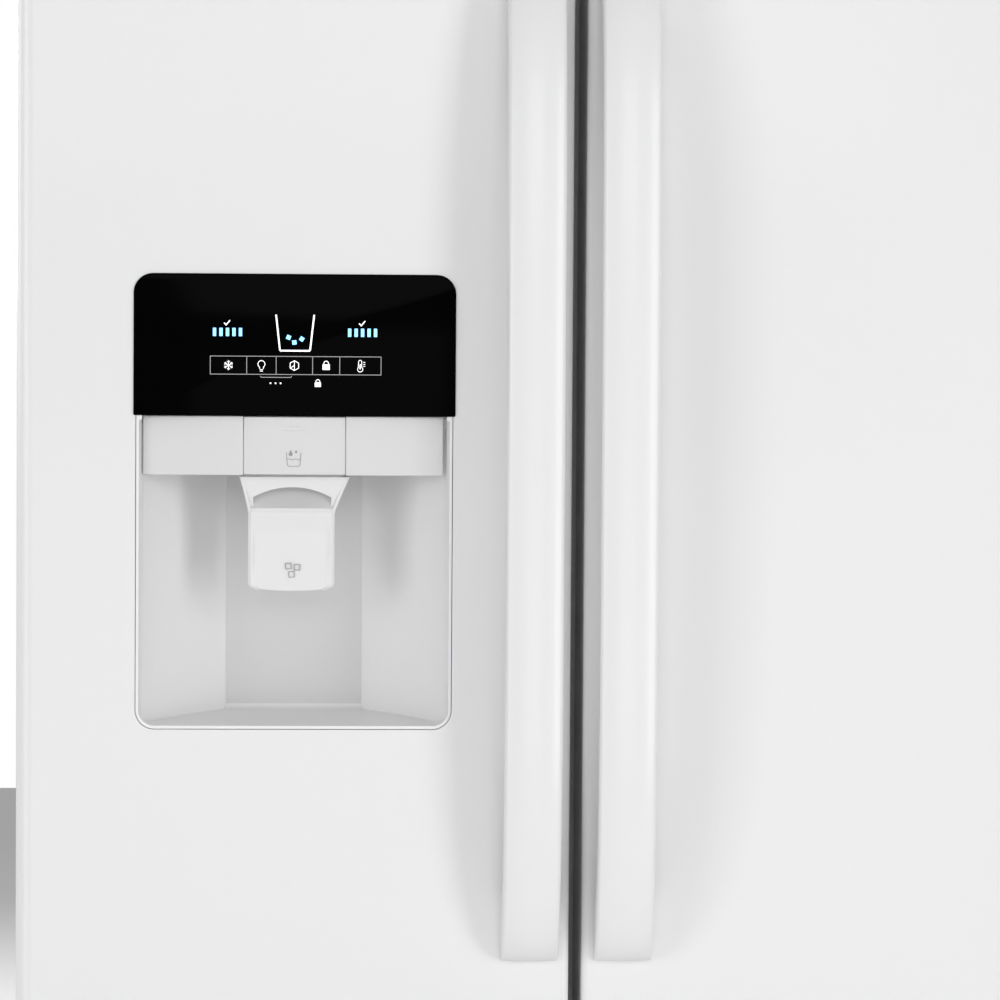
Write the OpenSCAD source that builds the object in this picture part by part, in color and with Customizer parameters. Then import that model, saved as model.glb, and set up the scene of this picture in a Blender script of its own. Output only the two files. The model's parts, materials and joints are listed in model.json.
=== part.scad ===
// Side-by-side refrigerator with an ice and water dispenser in the freezer door.
// X runs to the right, the doors face -Y and Z is up.
// The origin is the middle of the base, on the floor.

/* [Cabinet] */
// Width of the cabinet
case_w = 911; // [905:1:917]
// Depth of the cabinet without its doors
case_d = 711; // [700:1:720]
// Height of the cabinet's top panel above the floor
case_top = 1727; // [1720:1:1740]
// Thickness of the insulated walls
wall_t = 50; // [46:1:52]
// Thickness of the steel sheet
sheet_t = 1.2; // [1:0.1:1.5]

/* [Doors] */
// Width of the freezer door
freezer_door_w = 398; // [394:1:402]
// Gap between the two doors
door_gap = 9.3; // [8.5:0.1:10.5]
// Thickness of a door from its face to its inner liner
door_t = 96; // [94:1:98]
// Thickness of the magnetic gaskets
gasket_t = 14; // [13:1:15]
// Bottom edge of the doors above the floor
door_bottom = 80; // [80:1:82]

/* [Handles] */
// Width of a handle bar
handle_w = 41; // [38:1:44]
// Length of a handle bar
handle_l = 732; // [700:1:760]
// Furthest that a handle stands off its door
handle_reach = 55; // [52:1:58]
// Height of the middle of the handles above the floor
handle_mid = 1168; // [1150:1:1190]

/* [Dispenser] */
// Width of the black control panel
panel_w = 232; // [230:1:234]
// Height of the black control panel
panel_h = 102; // [98:1:104]
// Top of the control panel above the floor
panel_top = 1295; // [1293:1:1297]
// Height of the white niche below the panel
niche_h = 225; // [220:1:228]
// Depth of the niche behind the door's face
niche_depth = 98; // [94:1:98]

/* [Feet] */
// Radius of the leveling feet
foot_r = 18; // [16:1:20]

/* [Hidden] */
$fn = 64;

half_w = case_w / 2;
total_d = case_d + gasket_t + door_t + handle_reach;
y_back = total_d / 2;
y_case = y_back - case_d;
y_liner = y_case - gasket_t;
y_face = y_liner - door_t;
seam_x = -half_w + freezer_door_w + door_gap / 2;
side_bottom = 28;
box_bottom = 68;
door_top = case_top + 11;

// Compartments: inner faces of the two liners
mullion_w = 60;
liner_t = 2;
freezer_x = [-half_w + wall_t, seam_x - mullion_w / 2 - liner_t];
fridge_x = [seam_x + mullion_w / 2 + liner_t, half_w - wall_t];
z_floor = 130;
z_roof = case_top - wall_t;
y_pocket = y_back - 60;
y_step = 150;
z_step = 342;
bay_y = 195;
bay_top = 300;

// Door hinge axes
hinge_x = half_w - 20;
hinge_y = y_face + 36;
hinge_pin_r = 7;
roller_r = 22;
fit = 0.06;
snap = 0.05;

// Drawers
drawer_front = -165;
drawer_rim = 4;
ledge_w = 12;
basket_z = [142, 330];
lower_z = [150, 336];
upper_z = [360, 560];

// Shelves
shelf_front = -170;
shelf_back = 340;
fridge_shelf_z = [590, 850, 1100, 1370];
hooked_shelf_z = [850, 1100, 1370];
freezer_shelf_z = [500, 720, 940, 1160];

// Dispenser
disp_x = -256.7;
panel_bottom = panel_top - panel_h;
niche_bottom = panel_bottom - niche_h;
niche_half = 113.5;
fascia_h = 43;
fascia_z = panel_bottom - fascia_h;
chute_foot = [disp_x, -327, panel_bottom - 3];
chute_tilt = 29;
chute_r = 24;

// ---------- Shapes that repeat ----------

// A block between two corners, given as ranges
module span(x, y, z) {
    translate([x[0], y[0], z[0]]) cube([x[1] - x[0], y[1] - y[0], z[1] - z[0]]);
}

// Round bars along each axis, from a starting point
module rod_x(p, r, l) {
    translate(p) rotate([0, 90, 0]) cylinder(r = r, h = l);
}

module rod_y(p, r, l) {
    translate(p) rotate([-90, 0, 0]) cylinder(r = r, h = l);
}

module rod_z(p, r, l) {
    translate(p) cylinder(r = r, h = l);
}

// Both sides of the cabinet
module both_sides() {
    children();
    mirror([1, 0, 0]) children();
}

// The space inside a compartment, grown by g on its closed sides, with a step over the machine bay
module compartment(x, g, lead) {
    span([x[0] - g, x[1] + g], [y_case - lead, y_step + g], [z_floor - g, z_roof + g]);
    span([x[0] - g, x[1] + g], [y_case - lead, y_pocket + g], [z_step - g, z_roof + g]);
}

// A compartment's moulded liner
module liner_shell(x) {
    difference() {
        compartment(x, liner_t, 0);
        compartment(x, 0, 1);
    }
}

// Rails on both liner walls that carry a drawer's rim
module ledges(x, z, y_end) {
    span([x[0], x[0] + ledge_w], [drawer_front, y_end], [z - 8, z]);
    span([x[1] - ledge_w, x[1]], [drawer_front, y_end], [z - 8, z]);
}

// An open drawer with a rim that rests on the ledges and a grip along its front
module drawer(x, z, y_end) {
    body_x = [x[0] + ledge_w + 3, x[1] - ledge_w - 3];
    wall = 3;
    difference() {
        union() {
            span(body_x, [drawer_front, y_end], z);
            span([x[0] + 2, x[1] - 2], [drawer_front, y_end], [z[1] - drawer_rim, z[1]]);
        }
        span([body_x[0] + wall, body_x[1] - wall], [drawer_front + wall, y_end - wall],
            [z[0] + wall, z[1] + 1]);
    }
    span([body_x[0] + 40, body_x[1] - 40], [drawer_front - 14, drawer_front], [z[1] - 16, z[1] - 12]);
}

// Plan outline with rounded front corners: r holds the radius at each end
module front_rounded(x, y, r) {
    translate([x[0] + r[0], y[0] + r[0]]) circle(r = r[0]);
    translate([x[1] - r[1], y[0] + r[1]]) circle(r = r[1]);
    translate([x[0] + r[0], y[0]]) square([x[1] - x[0] - r[0] - r[1], y[1] - y[0]]);
    translate([x[0], y[0] + r[0]]) square([r[0] + 1, y[1] - y[0] - r[0]]);
    translate([x[1] - r[1] - 1, y[0] + r[1]]) square([r[1] + 1, y[1] - y[0] - r[1]]);
}

// Rounded rectangle in plan, centred on x
module round_rect(w, h, r) {
    for (i = [-1, 1], j = [0, 1])
        translate([i * (w / 2 - r), j ? h - r : r]) circle(r = r);
    translate([-w / 2 + r, 0]) square([w - 2 * r, h]);
    translate([-w / 2, r]) square([w, h - 2 * r]);
}

// Stands a plan outline up, facing -Y, between two depths
module stand(y, z) {
    translate([0, y[1], z]) rotate([90, 0, 0]) linear_extrude(y[1] - y[0]) children();
}

// A rubber gasket frame
module gasket_frame(x, z) {
    seal_w = 18;
    difference() {
        span(x, [y_liner, y_case - 0.3], z);
        span([x[0] + seal_w, x[1] - seal_w], [y_liner - 1, y_case], [z[0] + seal_w, z[1] - seal_w]);
    }
}

// An open bin that hangs between a door liner's ribs
module door_bin(x, z, h) {
    wall = 3;
    bin_y = [y_liner + 0.3, -205];
    mid = (x[0] + x[1]) / 2;
    difference() {
        translate([0, 0, z]) linear_extrude(h)
            mirror([0, 1]) front_rounded(x, [-bin_y[1], -bin_y[0]], [18, 18]);
        translate([0, 0, z + wall]) linear_extrude(h)
            mirror([0, 1]) front_rounded([x[0] + wall, x[1] - wall],
                [-bin_y[1] + wall, -bin_y[0] - wall], [15, 15]);
        translate([mid, bin_y[1] + 1, z + h + 30]) rotate([90, 0, 0]) cylinder(r = 48, h = 5);
    }
}

// The cross-section of a steel door skin
module skin_outline(x, r, g) {
    front_rounded([x[0] + g, x[1] - g], [y_face + g, y_liner - 3 + g], [r[0] - g, r[1] - g]);
}

// A folded steel door skin, open at the back, top and bottom
module door_skin(x, r) {
    skin_t = 1;
    translate([0, 0, door_bottom + 12]) linear_extrude(door_top - door_bottom - 28)
        difference() {
            skin_outline(x, r, 0);
            skin_outline(x, r, skin_t);
        }
}

// Plastic end caps with the hinge pin's bores
module door_caps(x, r, pin_x) {
    difference() {
        union() {
            translate([0, 0, door_bottom]) linear_extrude(12) skin_outline(x, r, 0);
            translate([0, 0, door_top - 16]) linear_extrude(16) skin_outline(x, r, 0);
        }
        rod_z([pin_x, hinge_y, door_bottom - 1], hinge_pin_r + fit, 14);
        rod_z([pin_x, hinge_y, door_top - 17], hinge_pin_r + fit, 18);
    }
}

// A door's insulation between its caps
module door_foam(x, r, pin_x) {
    difference() {
        translate([0, 0, door_bottom + 12]) linear_extrude(door_top - door_bottom - 28)
            intersection() {
                skin_outline(x, r, 1);
                translate([x[0], y_face]) square([x[1] - x[0], door_t - 3]);
            }
        rod_z([pin_x, hinge_y, door_bottom], hinge_pin_r + 4, 40);
        rod_z([pin_x, hinge_y, door_top - 40], hinge_pin_r + 4, 40);
    }
}

// The flat inner panel of a door with its raised ribs, which carry the bins
module door_liner(x) {
    span([x[0] + 1, x[1] - 1], [y_liner - 3, y_liner], [door_bottom + 12, door_top - 16]);
}

// Four bars clipped round the edge of the inner door
module door_bars(rib_x, rib_z) {
    rib_w = 12;
    rib_y = [y_liner + snap, -245];
    for (x = [rib_x[0], rib_x[1] - rib_w])
        span([x, x + rib_w], rib_y, rib_z);
    for (z = [rib_z[0], rib_z[1] - rib_w])
        span([rib_x[0] + rib_w + snap, rib_x[1] - rib_w - snap], rib_y, [z, z + rib_w]);
}

// How far a handle's front stands off, where t runs from -1 to 1 along its length
function bar_rise(t, reach) = reach * pow(max(0, 1 - pow(abs(t), 4)), 0.4);

// Side outline of a bowed bar against the door
module bow(length, reach) {
    steps = 20;
    polygon([for (i = [-steps:steps])
        let (t = sin(90 * i / steps)) [bar_rise(t, reach), t * length / 2]]);
}

module handle_bar(x) {
    foot_l = 45;
    bar_t = 15;
    translate([x - handle_w / 2, y_face, handle_mid]) rotate([90, 0, 90])
        linear_extrude(handle_w) difference() {
            mirror([1, 0]) bow(handle_l, handle_reach);
            mirror([1, 0]) bow(handle_l - 2 * foot_l, handle_reach - bar_t);
        }
}

// ---------- Cabinet ----------

module case_shell() color("whitesmoke") difference() {
    span([-half_w, half_w], [y_case, y_back], [side_bottom, case_top]);
    span([-half_w + sheet_t, half_w - sheet_t], [y_case + sheet_t, y_back + 1], [0, case_top - sheet_t]);
    span([-half_w + sheet_t, half_w - sheet_t], [y_case - 1, y_back], [0, box_bottom]);
    for (x = [freezer_x, fridge_x])
        span([x[0] - liner_t, x[1] + liner_t], [y_case - 1, y_case + 5],
            [z_floor - liner_t, z_roof + liner_t]);
}

module case_back() color("gainsboro")
    span([-half_w + sheet_t, half_w - sheet_t], [y_back - sheet_t, y_back], [bay_top, case_top - sheet_t]);

module case_foam() color("khaki") difference() {
    span([-half_w + sheet_t, half_w - sheet_t], [y_case + sheet_t, y_back - sheet_t],
        [box_bottom, case_top - sheet_t]);
    compartment(freezer_x, liner_t, 1);
    compartment(fridge_x, liner_t, 1);
    span([-half_w, half_w], [bay_y, y_back], [0, bay_top]);
}

module freezer_liner() color("white") liner_shell(freezer_x);

module fridge_liner() color("white") liner_shell(fridge_x);

module drawer_rails() color("white") {
    ledges(freezer_x, basket_z[1] - drawer_rim - 0.3, 148);
    ledges(fridge_x, lower_z[1] - drawer_rim - 0.3, 148);
    ledges(fridge_x, upper_z[1] - drawer_rim - 0.3, 320);
    ledges(fridge_x, fridge_shelf_z[0] - 8, 320);
}

// Roller and foot positions
roller_y = 330;
roller_x = 394;
roller_w = 16;
axle_r = 4;
foot_x = 425;
foot_y = -235;
screw_r = 5;
rail_x = [412, 454];
rail_z = [28, box_bottom];

module base_frame() color("silver") difference() {
    union() {
        both_sides() {
            difference() {
                span(rail_x, [y_case, 430], rail_z);
                span([rail_x[0] + 2.5, rail_x[1] - 2.5], [y_case - 1, 431],
                    [rail_z[0] + 2.5, rail_z[1] - 2.5]);
            }
            rod_z([foot_x, foot_y, rail_z[0]], 9, 12);
            for (x = [roller_x - roller_w / 2 - 4.5, roller_x + roller_w / 2 + 1.5])
                span([x, x + 3], [roller_y - 14, roller_y + 14], [11, rail_z[1] - 4]);
            span([roller_x - roller_w / 2 - 4.5, rail_x[0]], [roller_y - 14, roller_y + 14],
                [rail_z[1] - 8, rail_z[1] - 4]);
            rod_x([roller_x - roller_w / 2 - 4.5, roller_y, roller_r], axle_r, roller_w + 9);
        }
        for (y = [-120, 150])
            span([-rail_x[0], rail_x[0]], [y, y + 40], [rail_z[0] + 10, rail_z[1]]);
        span([-rail_x[0], rail_x[0]], [200, 430], [rail_z[1] - 4, rail_z[1]]);
    }
    both_sides() rod_z([foot_x, foot_y, 0], screw_r + fit, 60);
}

module leveling_leg(x) {
    rod_z([x, foot_y, 0], foot_r, 8);
    rod_z([x, foot_y, 7], screw_r, 52);
}

module leveling_leg_left() color("dimgray") leveling_leg(-foot_x);

module leveling_leg_right() color("dimgray") leveling_leg(foot_x);

module rear_rollers() color("dimgray") both_sides() difference() {
    rod_x([roller_x - roller_w / 2, roller_y, roller_r], roller_r, roller_w);
    rod_x([roller_x - roller_w / 2 - 1, roller_y, roller_r], axle_r + fit, roller_w + 2);
}

// Base grille with the filter's opening
grille_y = [-345, -341];
grille_x = 448;
filter_x = -300;
filter_z = 41;
filter_r = 22;

module toe_grille() color("whitesmoke") {
    difference() {
        span([-grille_x, grille_x], grille_y, [12, 69]);
        rod_y([filter_x, grille_y[0] - 1, filter_z], 27.5, 10);
        for (x = [-220:26:378], z = [24, 40, 56])
            span([x, x + 20], [grille_y[0] - 1, grille_y[1] + 1], [z - 3, z + 3]);
    }
    both_sides() span([grille_x - 4, grille_x], [grille_y[1] + snap, y_case - 4.3], [30, 69]);
}

module filter_housing() color("lightgray") difference() {
    union() {
        rod_y([filter_x, -332, filter_z], 26, 192);
        span([filter_x - 40, filter_x + 40], [-262, -200], [filter_z + 20, box_bottom]);
    }
    rod_y([filter_x, -333, filter_z], filter_r + fit, 183);
}

module water_filter() color("white") {
    rod_y([filter_x, -338, filter_z], filter_r, 184);
    difference() {
        rod_y([filter_x, -349, filter_z], 26, 11);
        for (i = [-1, 1])
            span([filter_x + i * 14 - 9, filter_x + i * 14 + 9], [-350, -342],
                [filter_z - 30, filter_z + 30]);
    }
}

// Hinge brackets with their pins, above and below both doors
module hinge_brackets() color("silver") both_sides() {
    span([408, 450], [-368, -180], [door_top + 1, door_top + 5]);
    span([408, 450], [-262, -180], [case_top, door_top + 1]);
    rod_z([hinge_x, hinge_y, door_top - 14], hinge_pin_r, 17);
    for (y = [-240, -200])
        rod_z([429, y, door_top + 5], 5, 3);
    span([414, 452], [-368, y_case], [70, 74]);
    span([414, 452], [y_case - 4, y_case], [32, 74]);
    rod_z([hinge_x, hinge_y, 72], 11, door_bottom - 72.4);
    rod_z([hinge_x, hinge_y, 72], hinge_pin_r, 19);
}

module hinge_covers() color("whitesmoke") both_sides() difference() {
    union() {
        span([402, half_w], [-268, -150], [case_top, case_top + 23]);
        span([402, half_w], [-374, -268], [door_top + 1.5, case_top + 23]);
    }
    span([404, half_w - 2], [-266, -152], [case_top - 1, case_top + 21]);
    span([404, half_w - 2], [-372, -260], [door_top, case_top + 21]);
}

// ---------- Machine bay ----------

comp_x = -285;
comp_y = 318;

module compressor() color("black") {
    translate([comp_x, comp_y, 0]) rotate_extrude() {
        translate([0, 100]) square([72, 110]);
        translate([0, 82]) square([54, 20]);
        translate([54, 100]) intersection() {
            circle(r = 18);
            translate([0, -18]) square([18, 18]);
        }
        translate([0, 209]) intersection() {
            scale([1, 0.5]) circle(r = 72);
            square([72, 40]);
        }
    }
    span([comp_x - 95, comp_x + 95], [comp_y - 60, comp_y + 60], [78, 82]);
    for (i = [-1, 1], j = [-1, 1])
        rod_z([comp_x + i * 82, comp_y + j * 46, rail_z[1]], 11, 10);
    rod_x([comp_x + 60, comp_y, 190], 4, 40);
}

module condenser_shroud() color("dimgray") {
    difference() {
        union() {
            span([-64, -59], [214, 422], [rail_z[1], 286]);
            rod_x([-84, comp_y, 180], 95, 22);
        }
        rod_x([-90, comp_y, 180], 92, 40);
    }
    for (y = [214, 416])
        span([-112, -63], [y, y + 6], [172, 188]);
    span([-112, -106], [214, 422], [172, 188]);
    rod_x([-134, comp_y, 180], 24, 34);
    rod_x([-101, comp_y, 180], 3, 33);
}

// Tilted fan blades around an axis along X
module fan_blades(hub_r, tip_r, count) {
    for (i = [0:count - 1])
        rotate([i * 360 / count, 0, 0]) translate([0, 0, hub_r - 2]) rotate([0, 0, 35])
            translate([-1, -tip_r * 0.28, 0]) cube([2, tip_r * 0.56, tip_r - hub_r + 2 - tip_r * 0.12]);
}

module condenser_fan() color("dimgray") translate([-76, comp_y, 180]) difference() {
    union() {
        rod_x([-16, 0, 0], 16, 24);
        translate([-4, 0, 0]) fan_blades(16, 88, 5);
    }
    rod_x([-17, 0, 0], 3 + fit, 26);
}

module condenser() color("black") {
    passes = 9;
    pitch = 20;
    tube_r = 3.2;
    coil_x = [20, 360];
    for (layer = [0:2], i = [0:passes - 1])
        rod_x([coil_x[0], 250 + layer * 50, 116 + i * pitch], tube_r, coil_x[1] - coil_x[0]);
    for (layer = [0:2], i = [0:passes - 2])
        translate([i % 2 == 0 ? coil_x[1] : coil_x[0], 250 + layer * 50, 126 + i * pitch])
            rotate([90, i % 2 == 0 ? 0 : 180, 0]) rotate([0, 0, -90])
            rotate_extrude(angle = 180) translate([pitch / 2, 0]) circle(r = tube_r);
    for (x = [60, 190, 320])
        span([x, x + 2], [236, 364], [100, 290]);
}

module drain_pan() color("dimgray") difference() {
    span([10, 372], [225, 380], [rail_z[1], 98]);
    span([12, 370], [227, 378], [rail_z[1] + 2, 99]);
}

valve_x = 400;
valve_z = 150;

module water_valve() color("white") {
    span([valve_x - 22, valve_x + 22], [380, 415], [valve_z - 18, valve_z + 18]);
    rod_y([valve_x, 414, valve_z], 9.5, y_back - 414);
    rod_z([valve_x, 396, valve_z + 17], 15, 40);
    span([valve_x - 30, valve_x + 30], [415, 417], [valve_z - 30, valve_z + 30]);
    span([valve_x - 30, valve_x + 30], [415, 436.8], [valve_z + 28, valve_z + 30]);
}

gland_x = -420;
gland_z = 110;

module machine_cover() color("gainsboro") difference() {
    span([-half_w + sheet_t, half_w - sheet_t], [y_back - 1.2, y_back], [70, bay_top]);
    span([valve_x - 28, valve_x + 28], [430, 440], [valve_z - 28, valve_z + 27]);
    rod_y([gland_x, 430, gland_z], 10, 20);
    for (i = [0:13], z = [110:25:260])
        span([-330 + i * 46, -300 + i * 46], [430, 440], [z, z + 8]);
}

module cord_gland() color("black") difference() {
    union() {
        rod_y([gland_x, y_back - 14, gland_z], 10, 14);
        rod_y([gland_x, y_back - 6, gland_z], 14, 4.8);
    }
    rod_y([gland_x, y_back - 20, gland_z], 4.5, 30);
}

// ---------- Freezer compartment ----------

evap_y = 318;
evap_fan_z = 1050;
freezer_mid = (freezer_x[0] + freezer_x[1]) / 2;

module evaporator() color("silver") {
    coil_x = [freezer_x[0] + 40, freezer_x[1] - 40];
    for (i = [0:8])
        rod_x([coil_x[0], 350, 400 + i * 36], 4, coil_x[1] - coil_x[0]);
    for (i = [0:7])
        translate([i % 2 == 0 ? coil_x[1] : coil_x[0], 350, 418 + i * 36])
            rotate([90, i % 2 == 0 ? 0 : 180, 0]) rotate([0, 0, -90])
            rotate_extrude(angle = 180) translate([18, 0]) circle(r = 4);
    for (i = [0:11])
        span([coil_x[0] + 10 + i * 19.5, coil_x[0] + 11 + i * 19.5], [332, 368], [385, 705]);
}

module evaporator_cover() color("white") {
    difference() {
        span([freezer_x[0] + 1, freezer_x[1] - 1], [evap_y, evap_y + 3], [z_step + 1, 1240]);
        rod_y([freezer_mid, evap_y - 1, evap_fan_z], 62, 5);
        for (i = [0:7])
            span([freezer_mid - 100 + i * 26, freezer_mid - 84 + i * 26],
                [evap_y - 1, evap_y + 4], [365, 371]);
    }
    difference() {
        rod_y([freezer_mid, evap_y, evap_fan_z], 66, 24);
        rod_y([freezer_mid, evap_y - 1, evap_fan_z], 62, 26);
    }
    span([freezer_mid - 66, freezer_mid + 66], [352, 356], [evap_fan_z - 6, evap_fan_z + 6]);
    for (i = [-1, 1])
        span([freezer_mid + i * 64 - 2, freezer_mid + i * 64 + 2], [evap_y + 3, 356],
            [evap_fan_z - 6, evap_fan_z + 6]);
    rod_y([freezer_mid, 348, evap_fan_z], 17, 26);
    rod_y([freezer_mid, 328, evap_fan_z], 3, 24);
}

module evaporator_fan() color("white")
    translate([freezer_mid, 334, evap_fan_z]) rotate([0, 0, 90]) difference() {
        union() {
            rod_x([-8, 0, 0], 14, 16);
            fan_blades(14, 58, 5);
        }
        rod_x([-9, 0, 0], 3 + fit, 18);
    }

module freezer_shelves() color("white") for (z = freezer_shelf_z) {
    wires = 13;
    shelf_x = [freezer_x[0] + 6, freezer_x[1] - 6];
    for (y = [shelf_front, 60, 300])
        rod_x([shelf_x[0], y, z], 3.5, shelf_x[1] - shelf_x[0]);
    for (i = [0:wires - 1])
        rod_y([shelf_x[0] + 4 + i * (shelf_x[1] - shelf_x[0] - 8) / (wires - 1), shelf_front, z + 3], 2, 470);
}

maker_x = [-390, -150];
arm_y = 40;
arm_z = 1590;

module ice_maker() color("white") {
    difference() {
        span(maker_x, [20, 130], [1570, 1640]);
        span([maker_x[0] + 6, maker_x[1] - 30], [30, 120], [1600, 1641]);
        rod_x([maker_x[1] - 20, arm_y, arm_z], 2.5 + fit, 21);
    }
    for (i = [0:6])
        span([maker_x[0] + 26 + i * 26, maker_x[0] + 28 + i * 26], [30, 120], [1600, 1632]);
    span([maker_x[0] + 20, maker_x[1] - 20], [60, 100], [1640, z_roof]);
}

module ice_bail_arm() color("silver") {
    x_end = maker_x[1] + 12;
    rod_x([maker_x[1] - 18, arm_y, arm_z], 2.5, 32.5);
    rod_z([x_end, arm_y, 1548], 2.5, arm_z - 1548);
    translate([x_end, arm_y, arm_z]) sphere(r = 2.5);
    translate([x_end, arm_y, 1548]) sphere(r = 2.5);
    rod_x([maker_x[0] + 40, arm_y, 1548], 2.5, x_end - maker_x[0] - 40);
}

bin_x = [freezer_x[0] + 10, freezer_x[1] - 10];
bin_z = [1347, 1525];
auger_z = 1392;

spout_half = 44;
spout_y = [-268, -165];

module ice_bin() color("white") difference() {
    union() {
        span(bin_x, [spout_y[1], 300], bin_z);
        span([disp_x - spout_half, disp_x + spout_half], [spout_y[0], spout_y[1] + 1], bin_z);
    }
    span([bin_x[0] + 3, bin_x[1] - 3], [spout_y[1] + 3, 297], [bin_z[0] + 3, bin_z[1] + 1]);
    span([disp_x - spout_half + 3, disp_x + spout_half - 3], [spout_y[0] + 3, spout_y[1] + 4],
        [bin_z[0] + 3, bin_z[1] - 3]);
    span([disp_x - 24, disp_x + 24], [spout_y[0] + 3, -218], [bin_z[0] - 1, bin_z[0] + 4]);
    rod_y([disp_x, 290, auger_z], 6 + fit, 20);
}

module ice_auger() color("silver") {
    blade_half = 37;
    rod_y([disp_x, -258, auger_z], 6, 572);
    rod_y([disp_x, 302, auger_z], 16, 8);
    for (i = [0:16])
        translate([disp_x, -245 + i * 32, auger_z]) rotate([0, i * 30, 0])
            span([-blade_half, blade_half], [-2.5, 2.5], [-5, 5]);
}

// ---------- Refrigerator compartment ----------

ladder_x = [70, 300];

module shelf_ladders() color("silver") for (x = ladder_x) difference() {
    span([x, x + 20], [y_pocket - 6, y_pocket], [600, 1600]);
    for (shelf_z = hooked_shelf_z, step = [-2:2])
        span([x + 8, x + 12], [y_pocket - 7, y_pocket - 1.5],
            [shelf_z + step * 40 - 8, shelf_z + step * 40 + 6]);
}

shelf_x = [fridge_x[0] + 5, fridge_x[1] - 5];

module shelf_glass() color("lightcyan", 0.4) for (z = fridge_shelf_z)
    span([shelf_x[0] + 6, shelf_x[1] - 6], [shelf_front + 6, shelf_back - 6], [z, z + 4]);

module shelf_frames() color("white") {
    for (z = fridge_shelf_z) difference() {
        span(shelf_x, [shelf_front, shelf_back], [z - 8, z + 8]);
        span([shelf_x[0] + 14, shelf_x[1] - 14], [shelf_front + 14, shelf_back - 14], [z - 9, z + 9]);
        span([shelf_x[0] + 6, shelf_x[1] - 6], [shelf_front + 6, shelf_back - 6], [z, z + 9]);
    }
    for (z = hooked_shelf_z, x = ladder_x)
        span([x + 8.2, x + 11.8], [shelf_back - 2, y_pocket - 3], [z - 8, z + 4]);
}

module upper_crisper() color("lightcyan", 0.6) drawer(fridge_x, upper_z, 310);

module lower_crisper() color("lightcyan", 0.6) drawer(fridge_x, lower_z, 135);

module freezer_basket() color("lightcyan", 0.6) drawer(freezer_x, basket_z, 135);

module interior_lamps() color("white") {
    for (x = [120, 260])
        span([x, x + 70], [-90, -20], [z_roof - 9, z_roof]);
    span([freezer_mid - 40, freezer_mid + 40], [-120, -60], [z_roof - 9, z_roof]);
}

// ---------- Freezer door ----------

freezer_door_x = [-half_w, -half_w + freezer_door_w];
freezer_door_r = [12, 5];
freezer_rib_x = [-398, -106];
rib_top = 1660;
freezer_bin_z = [372, 520, 668, 816, 1545];
bulge_x = [disp_x - 127, disp_x + 127];
bulge_z = [935, 1343];
bulge_back = -215;

// The slanted ice passage, grown to radius r
module ice_passage(r) {
    translate(chute_foot) rotate([-chute_tilt, 0, 0]) translate([0, 0, -100])
        cylinder(r = r, h = 360);
}

// The part of the ice passage between the niche's ceiling and the liner
module passage_zone() {
    span([disp_x - 60, disp_x + 60], [y_face + 10, bulge_back], [panel_bottom - 3, bulge_z[1]]);
}

// Half width of the niche at a depth behind the door's face
function niche_half_at(d) = niche_half - 3 - 60.5 * pow(max(0, d) / niche_depth, 1.5);

// Plan of the niche, grown by g
module niche_plan(g) {
    steps = 8;
    polygon(concat(
        [for (i = [0:steps]) let (d = niche_depth * i / steps)
            [disp_x - niche_half_at(d) - g, y_face - 1 + d + (i == steps ? g : 0)]],
        [for (i = [steps:-1:0]) let (d = niche_depth * i / steps)
            [disp_x + niche_half_at(d) + g, y_face - 1 + d + (i == steps ? g : 0)]]));
}

module freezer_door_skin() color("whitesmoke") difference() {
    door_skin(freezer_door_x, freezer_door_r);
    translate([disp_x, 0, 0]) stand([y_face - 1, y_face + 5], niche_bottom)
        round_rect(2 * niche_half, panel_top - niche_bottom - 4, 14);
}

module freezer_door_liner() color("white") {
    difference() {
        union() {
            door_liner(freezer_door_x);
            span(bulge_x, [y_liner - 1, bulge_back], bulge_z);
        }
        span([bulge_x[0] + 2, bulge_x[1] - 2], [y_liner - 4, bulge_back - 2],
            [bulge_z[0] + 2, bulge_z[1] - 2]);
        ice_passage(chute_r + 3);
    }
    door_bars(freezer_rib_x, [352, rib_top]);
}

module freezer_door_foam() color("khaki") difference() {
    union() {
        door_foam(freezer_door_x, freezer_door_r, -hinge_x);
        span([bulge_x[0] + 2, bulge_x[1] - 2], [y_liner - 4, bulge_back - 2],
            [bulge_z[0] + 2, bulge_z[1] - 2]);
    }
    translate([0, 0, niche_bottom - 5]) linear_extrude(niche_h + 5) niche_plan(3);
    span([disp_x - 116, disp_x + 116], [y_face, -340], [niche_bottom - 5, panel_top + 2]);
    span([disp_x - 60, disp_x + 60], [y_face, y_face + niche_depth + 2], [fascia_z, panel_bottom + 20]);
    ice_passage(chute_r + 3);
}

module freezer_door_caps() color("gainsboro") door_caps(freezer_door_x, freezer_door_r, -hinge_x);

module freezer_gasket() color("lightgray")
    gasket_frame([-half_w + 22, freezer_door_x[1] - 4.5], [96, case_top - 11]);

module freezer_handle() color("whitesmoke") handle_bar(seam_x - 33.6);

module freezer_bins() color("lightcyan", 0.6)
    for (z = freezer_bin_z)
        door_bin([freezer_rib_x[0] + 13, -123], z, 88);

// A panel's front with only its top corners rounded
module panel_front(w, h, r) {
    intersection() {
        translate([0, -2 * r]) round_rect(w, h + 2 * r, r);
        translate([-w, 0]) square([2 * w, h]);
    }
}

module dispenser_panel() color("black") translate([disp_x, 0, 0]) {
    stand([y_face - 1.5, y_face], panel_bottom) panel_front(panel_w, panel_h, 14);
    stand([y_face - 0.5, y_face + 6], panel_bottom) panel_front(2 * niche_half - 1, panel_h - 5, 13);
}

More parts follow.
